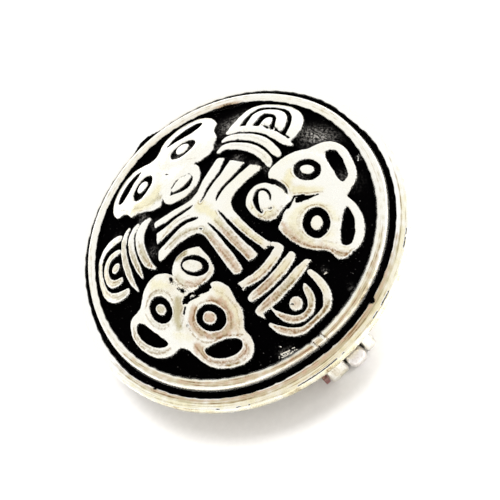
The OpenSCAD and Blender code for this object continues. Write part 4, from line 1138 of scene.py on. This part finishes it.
# Scratches into the ground, bright as the metal, in the disc's own x and y: from, to, width.
scratches = [
    (-2.46, -12.02, -2.62, -11.9, 0.07), (-2.46, -11.8, -2.66, -11.72, 0.05),
    (-2.8, -11.92, -3.3, -11.79, 0.08), (-3.3, -11.79, -3.76, -11.62, 0.09),
    (-2.95, -11.68, -3.35, -11.5, 0.07), (-3.35, -11.5, -3.66, -11.41, 0.08),
    (-2.96, -11.88, -3.1, -11.62, 0.06), (-3.14, -11.83, -3.27, -11.56, 0.06),
    (-3.36, -11.77, -3.46, -11.5, 0.06), (-3.56, -11.7, -3.62, -11.46, 0.07),
    (-3.86, -11.44, -3.97, -11.52, 0.07), (-6.26, 1.78, -6.38, 1.86, 0.14),
    (12.05, -2.42, 12.2, -2.3, 0.16), (11.8, -2.75, 11.95, -2.62, 0.08), (3.3, -9.55, 3.55, -9.6, 0.09),
    (5.9, -7.15, 5.95, -7.05, 0.1), (-5.95, -6.55, -6.0, -6.5, 0.07), (-3.2, -11.1, -3.3, -11.0, 0.05)]
# Where the black shows grey, rubbed and with a painted sheen: x, y, size, strength.
rubsAndSheen = [
    (10.9, 1.0, 0.9, 1.0), (10.3, 2.0, 0.7, 0.6), (6.3, 7.6, 0.9, 0.7), (1.95, 8.05, 1.3, 0.8),
    (-2.9, 8.3, 0.5, 0.3), (7.4, 8.2, 0.6, 0.4), (-2.4, 10.9, 0.5, 0.1), (4.7, 3.1, 0.35, 0.6),
    (5.2, 1.4, 0.3, 0.7), (5.75, 0.4, 0.3, 0.5), (-0.7, 2.8, 0.35, 0.8), (-4.0, 3.9, 0.3, 0.6),
    (-4.2, 5.6, 0.35, 0.5), (4.1, 5.6, 0.4, 0.6), (-3.5, -11.6, 0.28, 0.8), (-2.9, -11.7, 0.2, 0.7),
    (5.6, -1.95, 0.45, 0.6), (3.5, -9.4, 0.14, 0.5), (4.2, -11.3, 0.14, 0.6), (12.1, -2.6, 0.2, 0.8),
    (9.6, -4.4, 0.6, 0.3), (7.75, -1.86, 0.5, 0.5), (10.1, -4.0, 0.6, 0.4), (-8.35, 4.24, 0.3, 0.6),
    (-7.36, 7.25, 0.4, 0.5), (-4.5, 5.7, 0.3, 0.8), (-2.2, 4.85, 0.25, 0.8), (-0.2, 2.75, 0.5, 0.5),
    (0.6, 2.9, 0.4, 0.4), (-5.7, 2.2, 0.4, 0.3)]


# The hinge, needle and catch are under the disc, and plain where the photo hides them.
hinge = dict(x=0.4, y=-13.6, z=0.9, ears=[(-2.15, 1.85), (1.58, 1.08)], earRadius=0.9, bore=0.42, top=3.06,
             roundEnds=0.36, roundBlock=0.14)      # ears: start and width along the rivet
catch = dict(inner=0.65, strip=0.5, width=2.0, end=14.0, turn=140, stem=0.35, roundEdges=0.08, steps=18)
needle = dict(eyeRadius=0.85, eyeStart=-0.2, eyeWidth=1.7, eyeRound=0.55, eyeDeep=1.28, eyeOut=0.2,
              bore=0.44,
              shape=[(0.5, 0.56), (1.2, 0.52), (1.75, 0.452), (10.0, 0.448), (19.0, 0.45), (22.5, 0.40),
                     (25.5, 0.30), (27.0, 0.17), (27.8, 0.06), (28.0, 0.012)])    # from the rivet, radius
rivet = dict(radius=0.395, left=-2.62, right=2.6, endLength=0.42, endSize=0.43, endRound=0.07, dent=0.08,
             dentRim=0.09)


def hingeEar(start, width, h):
    ear = barrel("ear", start, width, h["earRadius"], h, h["roundEnds"])
    low = (start + 0.1, h["y"] - h["earRadius"] + 0.05, h["z"])
    high = (start + width - 0.1, h["y"] + h["earRadius"] - 0.05, h["top"])
    combine(ear, box("earBlock", low, high, h["roundBlock"]))
    return combine(ear, barrel("bore", start - 1, width + 2, h["bore"], h, 0.01), "DIFFERENCE")


def catchHook(c, h):
    # the strip's section is spun from over the needle round its side, and a stem joins it to the rim
    over = h["z"] + c["inner"] + c["strip"] / 2
    bpy.ops.mesh.primitive_plane_add(size=mm, rotation=(0, math.pi / 2, 0),
                                     location=(h["x"] * mm, (c["end"] - c["width"] / 2) * mm, over * mm))
    bpy.context.object.scale = (c["strip"], c["width"], 1)
    edit(named("catchHook"))
    bpy.ops.mesh.spin(steps=c["steps"], angle=math.radians(c["turn"]), axis=(0, 1, 0),
                      center=(h["x"] * mm, 0, h["z"] * mm))
    hook = bevelEnds(closeEnds(), c["roundEdges"], 2)
    stem = box("stem", (h["x"] - c["stem"], c["end"] - c["width"], h["z"] + c["inner"] + c["strip"] * 0.3),
               (h["x"] + c["stem"], c["end"], h["top"]), c["roundEdges"])
    return combine(hook, stem)


def buildNeedle(n, h):
    first = n["shape"][0]
    bpy.ops.mesh.primitive_circle_add(vertices=32, radius=first[1] * mm, fill_type="NGON",
                                      location=(h["x"] * mm, (h["y"] + first[0]) * mm, h["z"] * mm),
                                      rotation=(-math.pi / 2, 0, 0))
    edit(named("needle"))
    for (y0, r0), (y1, r1) in zip(n["shape"][:-1], n["shape"][1:]):
        bpy.ops.mesh.extrude_region_move(TRANSFORM_OT_translate={"value": (0, (y1 - y0) * mm, 0)})
        bpy.ops.transform.resize(value=(r1 / r0, 1, r1 / r0),
                                 center_override=(h["x"] * mm, (h["y"] + y1) * mm, h["z"] * mm))
    made = closeEnds()
    eye = barrel("eye", n["eyeStart"], n["eyeWidth"], n["eyeRadius"], h, n["eyeRound"], 48)
    edit(eye)
    bpy.ops.transform.resize(value=(1, n["eyeDeep"], 1), center_override=(0, (h["y"] + n["eyeOut"]) * mm, 0))
    bpy.ops.transform.translate(value=(0, -n["eyeOut"] * mm, 0))
    done()
    combine(eye, made)
    combine(eye, barrel("bore", h["x"] - 2, 4, n["bore"], h, 0.01), "DIFFERENCE")
    eye.name = "needle_wire"
    return eye


def buildRivet(r, h):
    wire = barrel("rivet_wire", r["left"] + 0.1, r["right"] - r["left"] - 0.2, r["radius"], h, 0.05, 32)
    for side, end in ((-1, r["left"]), (1, r["right"])):
        start = end if side < 0 else end - r["endLength"]
        head = box("head", (start, h["y"] - r["endSize"], h["z"] - r["endSize"]),
                   (start + r["endLength"], h["y"] + r["endSize"], h["z"] + r["endSize"]), 0)
        edit(head, "DESELECT")
        bpy.ops.mesh.select_mode(type="FACE")
        bpy.ops.object.mode_set(mode="OBJECT")
        for face in head.data.polygons:
            face.select = face.normal.x * side > 0.9 or face.normal.z > 0.9 or face.normal.y < -0.9
        bpy.ops.object.mode_set(mode="EDIT")
        bpy.ops.mesh.inset(thickness=r["dentRim"] * mm, depth=-r["dent"] * mm, use_individual=True)
        done()
        bevelEnds(head, r["endRound"] / 2, 2, 40)
        combine(wire, head)
    return wire


def markStrength(x, y, marks):
    # how strong one colour's marks are, painted reflections and shade or specks, with wandering edges
    x, y = x + 0.10 * ripple(x, y, 0.4) + 0.04 * ripple(y, x, 0.15), y + 0.10 * ripple(y + 5, x, 0.37)
    most = np.zeros(len(x))
    for axis, strength, line in eachMark(marks):
        u, v = ownAxes(x, y, axis)
        (lowU, lowV), (highU, highV) = np.min(line, 0)[:2] - 2.2, np.max(line, 0)[:2] + 2.2
        near = (u > lowU) & (v > lowV) & (u < highU) & (v < highV)
        soft = np.clip(0.72 + insideBand(u[near], v[near], line) / 0.55, 0, 1)
        most[near] = np.maximum(most[near], strength * soft)
    return most


def strokeLine(axis, marks):
    # a stroke's middle line in the disc's own x and y
    u, v = curve(marks, False, 6).T
    a = math.radians(axis)
    return np.stack([u * math.sin(a) + v * math.cos(a), v * math.sin(a) - u * math.cos(a)], 1)


# how strong the painted shade strokes are at each point
def stroked(x, y):
    most = np.zeros(len(x))
    inner, outer = relief["strokeRows"][2:]
    for axis, strength, marks in eachMark(shadeStrokes):
        line = strokeLine(axis, marks)
        (lowX, lowY), (highX, highY) = line.min(0) - outer, line.max(0) + outer
        near = (x > lowX) & (x < highX) & (y > lowY) & (y < highY)
        away = -insideBand(x[near], y[near], np.column_stack([line, np.zeros(len(line))]))
        most[near] = np.maximum(most[near], strength * np.clip((outer - away) / (outer - inner), 0, 1))
    return most


def buildDisc():
    spot, z, faces, edge = ornamentMesh(relief)
    verts = np.column_stack([spot, z]) * mm
    top = newObject("disc_skin", verts.tolist(), [tuple(f) for f in faces])
    setAttribute(top, "edge", edge)
    # rubbed wear and painted sheen on the ground, painted reflections, shade and specks on the metal, and
    # painted shade strokes
    rubbedAndSheen = sum(k * bell(np.hypot(spot[:, 0] - x, spot[:, 1] - y) / size) for x, y, size, k in rubsAndSheen)
    setAttribute(top, "rubbedAndSheen", np.clip(rubbedAndSheen, 0, 1))
    for name, marks in shadeAndReflectionMarks.items():
        setAttribute(top, name, markStrength(spot[:, 0], spot[:, 1], marks))
    setAttribute(top, "stroke", stroked(spot[:, 0], spot[:, 1]))
    print("ornament:", len(verts), "points,", len(faces), "faces")
    ring, line = spinBorder(border)
    wearBorder(ring, line, border)
    joinTo(top, [ring])
    edit(top)
    bpy.ops.mesh.remove_doubles(threshold=0.002 * mm)
    bpy.ops.mesh.normals_make_consistent(inside=False)
    done()
    soldered = [castExtra(hingeEar(start, width, hinge), 0.15) for start, width in hinge["ears"]]
    soldered.append(castExtra(catchHook(catch, hinge), 1.0))
    joinTo(top, soldered)
    print("disc skin:", len(top.data.polygons), "faces,", openEdges(top), "open edges")
    return top


def castExtra(piece, hidden):
    # the ears and hook take a straw tint of painted reflection, dark specks and some of the back's dull
    # finish
    for name, value in (("edge", 0.5), ("hidden", hidden), ("straw", 0.4), ("specksAndShade", 0.42)):
        setAttribute(piece, name, np.full(len(piece.data.vertices), value))
    return piece


setCamera(photo)
setLight(light)
layTable()
print("stage set")
disc = buildDisc()
wire = buildNeedle(needle, hinge)
copper = buildRivet(rivet, hinge)
print("needle", openEdges(wire), "rivet", openEdges(copper), "open edges")
smoothBelow = math.radians(42)
for piece, finish, body, node, slot in ((disc, castSilver(silverLook), "brooch", "disc", "silver"),
                                        (wire, wireSilver(), "needle", "pin", "needle_silver"),
                                        (copper, rivetCopper(), "brooch", "rivet", "rivet_copper")):
    piece.data.materials.append(finish)
    alone(piece)
    bpy.ops.object.shade_smooth_by_angle(angle=smoothBelow)
    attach(piece, body)
    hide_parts(node)
